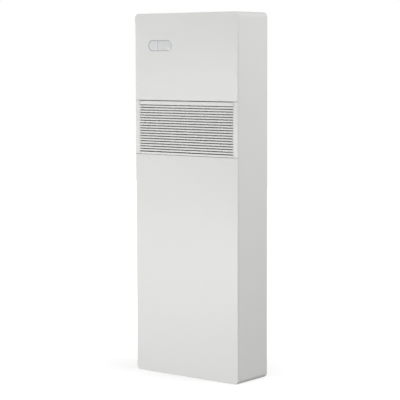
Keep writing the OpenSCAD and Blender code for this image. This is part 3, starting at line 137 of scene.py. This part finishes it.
def along(axis, **fixed):
    # a test for edges that run along one axis, at the fixed places given
    def test(a, b):
        if near(a[axis], b[axis]):
            return False
        for key, value in fixed.items():
            place = "xyz".index(key)
            places = value if isinstance(value, (tuple, list)) else (value,)
            if not any(near(a[place], p) and near(b[place], p) for p in places):
                return False
        return True
    return test


def cut(piece, tool, operation="DIFFERENCE"):
    clearSelection()
    bpy.context.view_layer.objects.active = piece
    piece.select_set(True)
    change = piece.modifiers.new("cut", "BOOLEAN")
    change.operation = operation
    change.solver = "EXACT"
    change.object = tool
    bpy.ops.object.modifier_apply(modifier=change.name)
    bpy.data.objects.remove(tool)
    return piece


def join(name, pieces):
    clearSelection()
    for piece in pieces:
        piece.select_set(True)
    bpy.context.view_layer.objects.active = pieces[0]
    if len(pieces) > 1:
        bpy.ops.object.join()
    pieces[0].name = name
    return pieces[0]


def smooth(piece, angle=35):
    clearSelection()
    bpy.context.view_layer.objects.active = piece
    piece.select_set(True)
    bpy.ops.object.shade_smooth_by_angle(angle=math.radians(angle))
    return piece


def place(piece, body, slot, stands=()):
    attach(piece, body)
    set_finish(piece, slot)
    for node in stands:
        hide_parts(node)
    return piece


def pill(name, halfWidth, halfHeight, x, z, y0, y1, steps=16):
    piece = block(name, (x - halfWidth, y0, z - halfHeight), (x + halfWidth, y1, z + halfHeight))
    return roundEdges(piece, along(1), halfHeight * bevelShare, steps)


# casing

body = dict(halfWidth=0.25, height=1.398, front=-0.0925, back=0.0925, corner=0.018, sheet=0.0012, skin=0.0015,
            foldDepth=0.005, foldRound=0.004, foldLow=0.031, foldHigh=1.363, seam=0.0008)


def makeCasing():
    b = body
    lip = dict(front=-0.0867, rear=0.0898, width=0.014, round=0.003)
    drain = dict(x=0.06, z=0.014, radius=0.0084, inside=0.08)
    y0 = b["front"] + b["skin"]
    piece = block("casingShell", (-b["halfWidth"], y0, 0), (b["halfWidth"], b["back"], b["height"]))
    roundEdges(piece, along(1), b["corner"], 14)
    s = b["sheet"]
    inner = block("tool", (s - b["halfWidth"], y0 - over, s),
                  (b["halfWidth"] - s, b["back"] + over, b["height"] - s))
    roundEdges(inner, along(1), b["corner"] - s, 14)
    cut(piece, inner)
    for y in (lip["front"], lip["rear"]):
        rim = block("rim", (s - b["halfWidth"], y, s), (b["halfWidth"] - s, y + s, b["height"] - s))
        roundEdges(rim, along(1), b["corner"] - s, 14)
        w = s + lip["width"]
        hole = block("tool", (w - b["halfWidth"], y - over, w), (b["halfWidth"] - w, y + over, b["height"] - w))
        roundEdges(hole, along(1), lip["round"], 5)
        cut(rim, hole)
        cut(piece, rim, "UNION")
    for side in (-1, 1):
        x0, x1 = sorted((side * (b["halfWidth"] - s), side * (b["halfWidth"] + skim)))
        tool = block("tool", (x0, b["front"] - over, b["foldLow"] - b["seam"]),
                     (x1, lip["front"], b["foldHigh"] + b["seam"]))
        cut(piece, tool)
    top = dict(halfWidth=0.212, y0=-0.0745, y1=0.0845, depth=0.005)
    cut(piece, block("tool", (-top["halfWidth"], top["y0"], b["height"] - top["depth"]),
                     (top["halfWidth"], top["y1"], b["height"] + top["depth"])))
    cut(piece, rod("tool", (drain["x"], drain["inside"], drain["z"]), (drain["x"], b["back"], drain["z"]), drain["radius"]))
    return place(smooth(piece), "root", "coated_sheet", ["casing"])


makeCasing()
print("stage: casing")

# front panels

fronts = dict(lower=(0, 0.855), grille=(0.8562, 1.0642), upper=(1.0654, 1.398), edge=0.0006, shortest=0.1)


def makeFront(name, z0, z1, holes=()):
    # a flat skin with the casing's corners and two folded side edges
    b = body
    x, y, t = b["halfWidth"], b["front"], b["skin"]
    e = fronts["edge"]
    f0, f1 = max(z0, b["foldLow"]), min(z1, b["foldHigh"])
    plate = block(name, (-x, y, z0), (x, y + t, z1))
    corners = [z for z, end in ((z0, 0), (z1, b["height"])) if near(z, end)]
    if corners:
        roundEdges(plate, along(1, z=corners), b["corner"], 14)
    for side in (-1, 1):
        x0, x1 = sorted((side * (x - b["foldRound"]), side * (x + skim)))
        low, high = f0 - (skim if f0 == z0 else 0), f1 + (skim if f1 == z1 else 0)
        cut(plate, block("tool", (x0, y - skim, low), (x1, y + t + skim, high)))
    joints = [z for z in (z0, z1) if z not in corners]
    across = along(0, y=y, z=joints)
    roundEdges(plate, lambda p, q: across(p, q) and near(p.z, q.z) and abs(p.x - q.x) > fronts["shortest"], e, 3)
    folds = []
    for side in (-1, 1):
        x0, x1 = sorted((side * (x - b["foldRound"]), side * x))
        fold = block("fold", (x0, y, f0), (x1, y + b["foldDepth"], f1))
        roundEdges(fold, along(2, x=side * x, y=y), b["foldRound"] * 0.999, 10)
        x0, x1 = sorted((side * (x - 2 * over), side * (x - t)))
        tool = block("tool", (x0, y + t, f0 - over), (x1, y + 2 * over, f1 + over))
        roundEdges(tool, along(2, x=side * (x - t), y=y + t), b["foldRound"] - t, 8)
        folds.append(cut(fold, tool))
    piece = join(name, [plate] + folds)
    for hole in holes:
        cut(piece, hole)
    return piece


window = dict(x=-0.124, z=1.2745, halfWidth=0.0575, halfHeight=0.02, gap=0.0005, rim=0.0016, flange=0.003,
              depth=0.008, set=0.0005, thick=0.002, keyEdge=-0.1375, keyGap=0.001, play=0.0001,
              rimRound=0.0005, lensRound=0.0004)


def windowPill(name, inset, y0, y1, steps=16):
    w = window
    return pill(name, w["halfWidth"] - inset, w["halfHeight"] - inset, w["x"], w["z"], y0, y1, steps)


def makePanels():
    hole = windowPill("tool", -window["gap"], body["front"] - over, body["front"] + over)
    upper = makeFront("upperFrontPanel", *fronts["upper"], holes=[hole])
    place(smooth(upper), "root", "front_white", ["upper_front_panel"])
    lower = makeFront("lowerFrontPanel", *fronts["lower"])
    place(smooth(lower), "root", "front_white", ["lower_front_panel"])


makePanels()
print("stage: panels")

# outlet grille

outlet = dict(windowX=0.2295, insertX=0.229, z0=0.8562, z1=1.0622, slots=(0.8648, 1.0477), slats=18, slot=0.0033,
              wall=0.0025, endRound=0.0008, slatDepth=0.013, slatRound=0.0012, tail=0.0018, rise=0.0042, back=-0.077,
              ring=0.002, ringWidth=0.006, ribs=5, rib=0.0018)


def makeGrilleFrame():
    o = outlet
    z0, z1 = fronts["grille"]
    y = body["front"]
    hole = block("tool", (-o["windowX"], y - over, z0 - over), (o["windowX"], y + over, z1 + over))
    piece = makeFront("grilleFrame", z0, z1, holes=[hole])
    parts = [piece]
    for side in (-1, 1):
        x0, x1 = sorted((side * o["windowX"], side * (o["windowX"] + o["ring"])))
        parts.append(block("wall", (x0, y + body["skin"], z0), (x1, o["back"] + o["ring"], z1)))
    ring = block("ring", (-o["windowX"], o["back"], z0), (o["windowX"], o["back"] + o["ring"], z1))
    w = o["ringWidth"]
    cut(ring, block("tool", (w - o["windowX"], o["back"] - over, z0 + w), (o["windowX"] - w, o["back"] + over, z1 - w)))
    piece = join("grilleFrame", parts + [ring])
    return place(smooth(piece), "root", "front_white", ["grille_frame"])


def makeSlat(x, z, height):
    # a bar with round front edges that thins towards a raised tail
    o = outlet
    y = body["front"]
    slat = block("slat", (-x, y, z - height / 2), (x, y + o["slatDepth"], z + height / 2))
    openEdit(slat)
    bpy.ops.mesh.select_mode(type="VERT")
    for up in (-1, 1):
        bpy.ops.mesh.select_all(action="DESELECT")
        mesh = bmesh.from_edit_mesh(slat.data)
        for v in mesh.verts:
            v.select_set(v.co.y > y + o["slatDepth"] / 2 and (v.co.z - z) * up > 0)
        bmesh.update_edit_mesh(slat.data)
        bpy.ops.transform.translate(value=(0, 0, o["rise"] + up * (o["tail"] - height) / 2))
    closeEdit()
    return roundEdges(slat, along(0, y=y), o["slatRound"], 5)


def makeOutlet():
    o = outlet
    y, t, x = body["front"], o["wall"], o["insertX"]
    low, high = o["slots"]
    height = (high - low - (o["slats"] + 1) * o["slot"]) / o["slats"]
    parts = []
    for z0, z1 in ((high, o["z1"]), (o["z0"], low)):
        bar = block("bar", (-x, y, z0), (x, y + t, z1))
        parts.append(roundEdges(bar, along(0, y=y), o["slatRound"], 5))
    for z in (o["z1"] - t, o["z0"]):
        parts.append(block("wall", (-x, y + t, z), (x, o["back"], z + t)))
    for side in (-1, 1):
        x0, x1 = sorted((side * x, side * (x - t)))
        wall = block("end", (x0, y, o["z0"]), (x1, o["back"], o["z1"]))
        parts.append(roundEdges(wall, along(2, y=y), o["endRound"], 4))
    for i in range(1, o["slats"] + 1):
        parts.append(makeSlat(x - t, low - height / 2 + i * (height + o["slot"]), height))
    for i in range(1, o["ribs"] + 1):
        ribX = 2 * x * i / (o["ribs"] + 1) - x
        parts.append(block("rib", (ribX - o["rib"] / 2, y + o["slatDepth"] - t, o["z0"]),
                           (ribX + o["rib"] / 2, o["back"], o["z1"])))
    piece = join("outletGrille", parts)
    return place(smooth(piece), "root", "grille_white", ["outlet_grille"])


makeGrilleFrame()
makeOutlet()
print("stage: outlet")

# display


def makeDisplay():
    w = window
    y = body["front"]
    ring = windowPill("displayBezel", 0, y, y + w["depth"], 24)
    cut(ring, windowPill("tool", w["rim"], y - over, y + w["depth"] + over, 24))
    roundEdges(ring, lambda a, b: near(a.y, y) and near(b.y, y), w["rimRound"], 3)
    flange = windowPill("flange", -w["flange"], y + body["skin"], y + 2 * body["skin"], 24)
    cut(flange, windowPill("tool", 0, y - over, y + over, 24))
    shelf = windowPill("shelf", w["rim"], y + w["set"] + w["thick"], y + w["depth"], 24)
    cut(shelf, windowPill("tool", 2 * w["rim"], y - over, y + w["depth"] + over, 24))
    place(smooth(join("displayBezel", [ring, flange, shelf])), "root", "bezel_grey", ["display_bezel"])
    left, right = w["x"] - w["halfWidth"] - over, w["x"] + w["halfWidth"] + over
    foot, head = w["z"] - w["halfHeight"] - over, w["z"] + w["halfHeight"] + over
    limits = dict(touchKey=(left, w["keyEdge"], "key_pale", "touch_key"),
                  displayLens=(w["keyEdge"] + w["keyGap"], right, "display_grey", "display_lens"))
    for name, (x0, x1, slot, node) in limits.items():
        piece = windowPill(name, w["rim"] + w["play"], y + w["set"], y + w["set"] + w["thick"], 24)
        for low, high in ((left, x0), (x1, right)):
            if high > low:
                cut(piece, block("tool", (low, y - over, foot), (high, y + over, head)))
        roundEdges(piece, lambda a, b: near(a.y, y + w["set"]) and near(b.y, y + w["set"]), w["lensRound"], 3)
        place(smooth(piece), "root", slot, [node])


makeDisplay()
print("stage: display")

# intake grille in the top

intake = dict(halfWidth=0.212, y0=-0.0745, y1=0.0845, gap=0.0004, rim=0.006, thick=0.003, flange=0.004, bars=14,
              bar=0.0034, barDepth=0.007, barRound=0.0012, edge=0.0006, ribs=4, rib=0.0018,
              slotY=0.07034, slotWidth=0.0105, slotHalf=0.203)


def makeIntake():
    n = intake
    top = body["height"]
    x, g = n["halfWidth"], n["gap"]
    plate = block("topIntakeGrille", (g - x, n["y0"] + g, top - n["thick"]), (x - g, n["y1"] - g, top))
    roundEdges(plate, lambda a, b: near(a.z, top) and near(b.z, top), n["edge"], 3)
    flange = block("flange", (-x - n["flange"], n["y0"] - n["flange"], top - n["thick"]),
                   (x + n["flange"], n["y1"] + n["flange"], top - body["sheet"]))
    slotA, slotB = n["slotY"] - n["slotWidth"] / 2, n["slotY"] + n["slotWidth"] / 2
    first, last = n["y0"] + g + n["rim"], slotA - n["rim"]
    cut(plate, flange, "UNION")
    low, high = top - 2 * over, top + 2 * over
    cut(plate, block("tool", (g + n["rim"] - x, first, low), (x - g - n["rim"], last, high)))
    cut(plate, block("tool", (-n["slotHalf"], slotA, low), (n["slotHalf"], slotB, high)))
    parts = [plate]
    step = (last - first) / (n["bars"] + 1)
    for i in range(1, n["bars"] + 1):
        y = first + i * step
        bar = block("bar", (g + n["rim"] - x, y - n["bar"] / 2, top - n["barDepth"]),
                    (x - g - n["rim"], y + n["bar"] / 2, top))
        parts.append(roundEdges(bar, along(0, z=top), n["barRound"], 4))
    for i in range(n["ribs"]):
        ribX = (i - (n["ribs"] - 1) / 2) * 2 * x / n["ribs"]
        parts.append(block("rib", (ribX - n["rib"] / 2, first - n["rim"] / 2, top - n["barDepth"]),
                           (ribX + n["rib"] / 2, last + n["rim"] / 2, top - n["thick"])))
    return place(smooth(join("topIntakeGrille", parts)), "root", "grille_white", ["top_intake_grille"])


makeIntake()
print("stage: intake")

# rear panel and its screws

rear = dict(inner=0.091, edge=0.0016, corner=0.0164, portX=0.1465, portZ=0.475, portR=0.0779,
            fixX=0.2, fixZ=(0.33, 1.18), fixR=0.0045, play=0.0001, slotLong=0.0022, slotThin=0.0005, slotDepth=0.0009,
            glandX=-0.168, glandZ=0.66, glandR=0.00905, drainX=0.06, drainZ=0.014, drainR=0.0084,
            screwX=0.2418, shares=(0.04, 0.2, 0.36, 0.5, 0.66, 0.82, 0.96), headR=0.0036, shankR=0.00175, screwLength=0.012)


def cone(name, x, z, y0, r0, y1, r1, sides=32):
    # a cone along Y, from radius r0 at y0 to r1 at y1
    clearSelection()
    bpy.ops.mesh.primitive_cone_add(vertices=sides, radius1=r0, radius2=r1, depth=abs(y1 - y0), location=(0, 0, 0))
    piece = bpy.context.object
    piece.name = name
    bpy.ops.object.mode_set(mode="EDIT")
    bpy.ops.mesh.select_all(action="SELECT")
    turn = -quarterTurn if y1 > y0 else quarterTurn
    bpy.ops.transform.rotate(value=turn, orient_axis="X", center_override=(0, 0, 0))
    bpy.ops.transform.translate(value=(x, (y0 + y1) / 2, z))
    closeEdit()
    return piece


def makeRear():
    r = rear
    y0, y1 = r["inner"], body["back"]
    x = body["halfWidth"] - r["edge"]
    panel = block("rearPanel", (-x, y0, r["edge"]), (x, y1, body["height"] - r["edge"]))
    roundEdges(panel, along(1), r["corner"], 14)
    holes = [(s * r["portX"], r["portZ"], r["portR"], 96) for s in (-1, 1)]
    holes += [(s * r["fixX"], z, r["fixR"], 32) for s in (-1, 1) for z in r["fixZ"]]
    holes += [(r["glandX"], r["glandZ"], r["glandR"], 48), (r["drainX"], r["drainZ"], r["drainR"], 48)]
    tools = [rod("tool", (hx, y0 - over, hz), (hx, y1 + over, hz), radius, sides) for hx, hz, radius, sides in holes]
    screws = []
    for s in (-1, 1):
        for share in r["shares"]:
            hx, hz = s * r["screwX"], share * body["height"]
            play = r["play"]
            tools.append(cone("tool", hx, hz, y0 - play, r["shankR"], y1 + play, r["headR"] + play))
            head = cone("screw", hx, hz, y0, r["shankR"], y1, r["headR"])
            for dx, dz in ((r["slotLong"], r["slotThin"]), (r["slotThin"], r["slotLong"])):
                cut(head, block("tool", (hx - dx, y1 - r["slotDepth"], hz - dz), (hx + dx, y1 + skim / 2, hz + dz)))
            screws += [head, rod("shank", (hx, y1 - r["screwLength"], hz), (hx, y0, hz), r["shankR"], 16)]
    cut(panel, join("tool", tools))
    place(smooth(panel), "root", "zinc_sheet", ["rear_panel"])
    place(smooth(join("rearScrews", screws)), "root", "zinc_fastener", ["rear_screws"])


makeRear()
print("stage: rear")

# materials


class Field:
    # a shader value that can be used in sums
    def __init__(self, tree, socket):
        self.tree = tree
        self.socket = socket

    def maths(self, operation, other, flip=False):
        node = self.tree.nodes.new("ShaderNodeMath")
        node.operation = operation
        pair = (other, self) if flip else (self, other)
        for slot, value in zip(node.inputs, pair):
            if isinstance(value, Field):
                self.tree.links.new(value.socket, slot)
            else:
                slot.default_value = value
        return Field(self.tree, node.outputs[0])

    def __add__(self, other):
        return self.maths("ADD", other)

    def __radd__(self, other):
        return self.maths("ADD", other, True)

    def __sub__(self, other):
        return self.maths("SUBTRACT", other)

    def __rsub__(self, other):
        return self.maths("SUBTRACT", other, True)

    def __mul__(self, other):
        return self.maths("MULTIPLY", other)

    def __rmul__(self, other):
        return self.maths("MULTIPLY", other, True)


class Paint:
    # one material and the nodes that drive it
    def __init__(self, name):
        self.material = bpy.data.materials.new(name)
        self.material.use_nodes = True
        self.tree = self.material.node_tree
        self.shader = self.tree.nodes["Principled BSDF"]
        self.place = self.node("ShaderNodeTexCoord").outputs["Object"]

    def node(self, kind, inputs=None, **settings):
        made = self.tree.nodes.new(kind)
        for key, value in settings.items():
            setattr(made, key, value)
        for key, value in (inputs or {}).items():
            socket = made.inputs[key]
            if isinstance(value, Field):
                value = value.socket
            if isinstance(value, bpy.types.NodeSocket):
                self.tree.links.new(value, socket)
            else:
                socket.default_value = value
        return made

    def noise(self, scale, detail=3, stretch=(1, 1, 1)):
        # fine or coarse grain between 0 and 1
        scales = tuple(scale * s for s in stretch)
        spread = self.node("ShaderNodeVectorMath", {0: self.place, 1: scales}, operation="MULTIPLY")
        grain = self.node("ShaderNodeTexNoise", {"Vector": spread.outputs[0], "Scale": 1.0, "Detail": detail})
        return Field(self.tree, grain.outputs["Fac"])

    def blendColours(self, share, low, high):
        mix = self.node("ShaderNodeMix", data_type="RGBA")
        self.tree.links.new(share.socket, mix.inputs["Factor"])
        mix.inputs["A"].default_value = (*low, 1)
        mix.inputs["B"].default_value = (*high, 1)
        return mix.outputs["Result"]

    def feed(self, name, value):
        socket = value.socket if isinstance(value, Field) else value
        if isinstance(socket, bpy.types.NodeSocket):
            self.tree.links.new(socket, self.shader.inputs[name])
        else:
            self.shader.inputs[name].default_value = value

    def bump(self, height, strength, distance):
        made = self.node("ShaderNodeBump", {"Height": height, "Strength": strength, "Distance": distance})
        self.tree.links.new(made.outputs["Normal"], self.shader.inputs["Normal"])


looks = dict(
    coated_sheet=dict(colour=(0.80, 0.80, 0.79), rough=0.42, grain=900, bump=0.08),
    front_white=dict(colour=(0.80, 0.80, 0.79), rough=0.42, grain=900, bump=0.08),
    grille_white=dict(colour=(0.82, 0.82, 0.81), rough=0.45, grain=1400, bump=0.06),
    inner_white=dict(colour=(0.74, 0.74, 0.73), rough=0.5, grain=700, bump=0.08),
    bezel_grey=dict(colour=(0.50, 0.51, 0.52), rough=0.3, grain=1500, bump=0.02),
    display_grey=dict(colour=(0.76, 0.77, 0.77), rough=0.18, grain=300, bump=0.0, coat=0.4),
    key_pale=dict(colour=(0.77, 0.79, 0.80), rough=0.2, grain=300, bump=0.0, coat=0.4),
    board_green=dict(colour=(0.03, 0.17, 0.08), rough=0.45, grain=500, bump=0.1, vary=0.3),
    mesh_grey=dict(colour=(0.12, 0.125, 0.13), rough=0.8, grain=2200, bump=0.5, vary=0.4),
    fin_blue=dict(colour=(0.42, 0.55, 0.66), rough=0.38, metal=0.85, grain=1200, bump=0.25, vary=0.2,
                  stretch=(1, 1, 0.05)),
    fin_plain=dict(colour=(0.62, 0.63, 0.64), rough=0.38, metal=0.9, grain=1200, bump=0.25, vary=0.2,
                   stretch=(1, 1, 0.05)),
    copper=dict(colour=(0.72, 0.34, 0.2), rough=0.32, metal=1.0, grain=300, bump=0.05, vary=0.2),
    brass=dict(colour=(0.72, 0.53, 0.24), rough=0.35, metal=1.0, grain=500, bump=0.06, vary=0.15),
    zinc_sheet=dict(colour=(0.55, 0.56, 0.57), rough=0.42, metal=0.8, grain=60, bump=0.03, vary=0.16),
    zinc_fastener=dict(colour=(0.58, 0.59, 0.6), rough=0.3, metal=1.0, grain=900, bump=0.05, vary=0.1),
    spring_steel=dict(colour=(0.4, 0.4, 0.41), rough=0.35, metal=1.0, grain=700, bump=0.05, vary=0.15),
    bright_steel=dict(colour=(0.65, 0.65, 0.66), rough=0.22, metal=1.0, grain=900, bump=0.04, vary=0.08,
                      stretch=(0.1, 1, 1)),
    motor_grey=dict(colour=(0.25, 0.255, 0.26), rough=0.45, metal=0.3, grain=500, bump=0.08),
    black_enamel=dict(colour=(0.02, 0.02, 0.022), rough=0.3, grain=300, bump=0.1, vary=0.3, coat=0.3),
    fan_grey=dict(colour=(0.14, 0.15, 0.165), rough=0.5, grain=700, bump=0.08, vary=0.2),
    foam_white=dict(colour=(0.7, 0.7, 0.68), rough=0.85, grain=350, bump=0.3, vary=0.08),
    foam_grey=dict(colour=(0.17, 0.17, 0.175), rough=0.9, grain=350, bump=0.35, vary=0.2),
    hose_grey=dict(colour=(0.2, 0.205, 0.21), rough=0.6, grain=600, bump=0.1, vary=0.15),
    collar_grey=dict(colour=(0.38, 0.39, 0.4), rough=0.5, grain=800, bump=0.08),
    rubber_black=dict(colour=(0.02, 0.02, 0.021), rough=0.75, grain=600, bump=0.15, vary=0.3))


def makeLook(name, s):
    paint = Paint(name)
    grain = paint.noise(s["grain"], 4, s.get("stretch", (1, 1, 1)))
    cloud = paint.noise(7, 2)
    vary = s.get("vary", 0.03)
    low = tuple(c * (1 - vary) for c in s["colour"])
    high = tuple(min(1, c * (1 + vary * 0.6)) for c in s["colour"])
    paint.feed("Base Color", paint.blendColours(0.55 * grain + 0.45 * cloud, low, high))
    paint.feed("Roughness", s["rough"] - 0.04 + 0.08 * cloud)
    paint.feed("Metallic", s.get("metal", 0.0))
    paint.feed("Coat Weight", s.get("coat", 0.0))
    if s["bump"]:
        paint.bump(grain, s["bump"], 0.0002)
    return paint.material


materials = {name: makeLook(name, settings) for name, settings in looks.items()}


def dress():
    # every piece and CAD node takes the material of its slot
    slots = {row["node"]: row["material_slot"] for row in frame["record"]["subparts"]}
    for node, piece in frame["nodes"].items():
        piece.data.materials.clear()
        piece.data.materials.append(materials[slots[node]])
    for piece in bpy.data.objects:
        slot = piece.get("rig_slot")
        if piece.type == "MESH" and slot in materials:
            piece.data.materials.clear()
            piece.data.materials.append(materials[slot])


dress()
print("stage: materials")

# floor, light and camera

studio = dict(floor=0.5, glow=0.55, glowRise=0.35, sky=0.52, key=66.0, fill=48.0)


def makeStage():
    clearSelection()
    bpy.ops.mesh.primitive_plane_add(size=14, location=(0, 0, 0))
    floor = bpy.context.object
    floor.name = "floor"
    # the camera sees the floor lifted towards white with the distance, and the shadow at the foot stays
    paint = Paint("floor")
    cloud = paint.noise(0.8, 2)
    c = studio["floor"]
    paint.feed("Base Color", paint.blendColours(cloud, (c, c, c), (c + 0.02, c + 0.02, c + 0.02)))
    paint.feed("Roughness", 0.9)
    paint.feed("Specular IOR Level", 0.0)
    away = Field(paint.tree, paint.node("ShaderNodeVectorMath", {0: paint.place}, operation="LENGTH").outputs["Value"])
    seenHere = Field(paint.tree, paint.node("ShaderNodeLightPath").outputs["Is Camera Ray"])
    lift = seenHere * (studio["glow"] + studio["glowRise"] * away)
    paint.feed("Emission Color", paint.blendColours(lift, (0, 0, 0), (1, 1, 1)))
    paint.feed("Emission Strength", 1.0)
    floor.data.materials.append(paint.material)
    world = bpy.data.worlds.new("studio")
    bpy.context.scene.world = world
    world.use_nodes = True
    tree = world.node_tree
    tree.nodes.clear()
    path = tree.nodes.new("ShaderNodeLightPath")
    seen = tree.nodes.new("ShaderNodeBackground")
    seen.inputs["Color"].default_value = (1, 1, 1, 1)
    light = tree.nodes.new("ShaderNodeBackground")
    light.inputs["Color"].default_value = (1, 1, 1, 1)
    light.inputs["Strength"].default_value = studio["sky"]
    mix = tree.nodes.new("ShaderNodeMixShader")
    out = tree.nodes.new("ShaderNodeOutputWorld")
    tree.links.new(path.outputs["Is Camera Ray"], mix.inputs[0])
    tree.links.new(light.outputs[0], mix.inputs[1])
    tree.links.new(seen.outputs[0], mix.inputs[2])
    tree.links.new(mix.outputs[0], out.inputs["Surface"])


def addLamp(name, position, target, size, power):
    data = bpy.data.lights.new(name, "AREA")
    data.shape = "RECTANGLE"
    data.size, data.size_y = size
    data.energy = power
    lamp = bpy.data.objects.new(name, data)
    bpy.context.scene.collection.objects.link(lamp)
    lamp.location = position
    lamp.rotation_euler = (Vector(target) - Vector(position)).to_track_quat("-Z", "Y").to_euler()


view = dict(position=(3.63213, -4.58384, 1.22609), yaw=38.42, pitch=-5.34, roll=-0.162, lens=136.511)


def addCamera():
    yaw, pitch, roll = (math.radians(view[k]) for k in ("yaw", "pitch", "roll"))
    forward = Vector((-math.sin(yaw) * math.cos(pitch), math.cos(yaw) * math.cos(pitch), math.sin(pitch)))
    data = bpy.data.cameras.new("camera")
    data.lens = view["lens"]
    data.sensor_width = 36
    data.clip_end = 50
    camera = bpy.data.objects.new("camera", data)
    bpy.context.scene.collection.objects.link(camera)
    camera.location = view["position"]
    camera.rotation_euler = forward.to_track_quat("-Z", "Y").to_euler()
    camera.rotation_euler.rotate_axis("Z", roll)
    bpy.context.scene.camera = camera


makeStage()
addLamp("keyLight", (-1.2, -3.2, 0.25), (0, 0, 0.4), (1.8, 0.9), studio["key"])
addLamp("fillLight", (3.2, 0.5, 2.6), (0.2, 0, 1.0), (1.6, 1.6), studio["fill"])
addCamera()
bpy.context.scene.view_settings.view_transform = "Standard"
print("stage: studio")
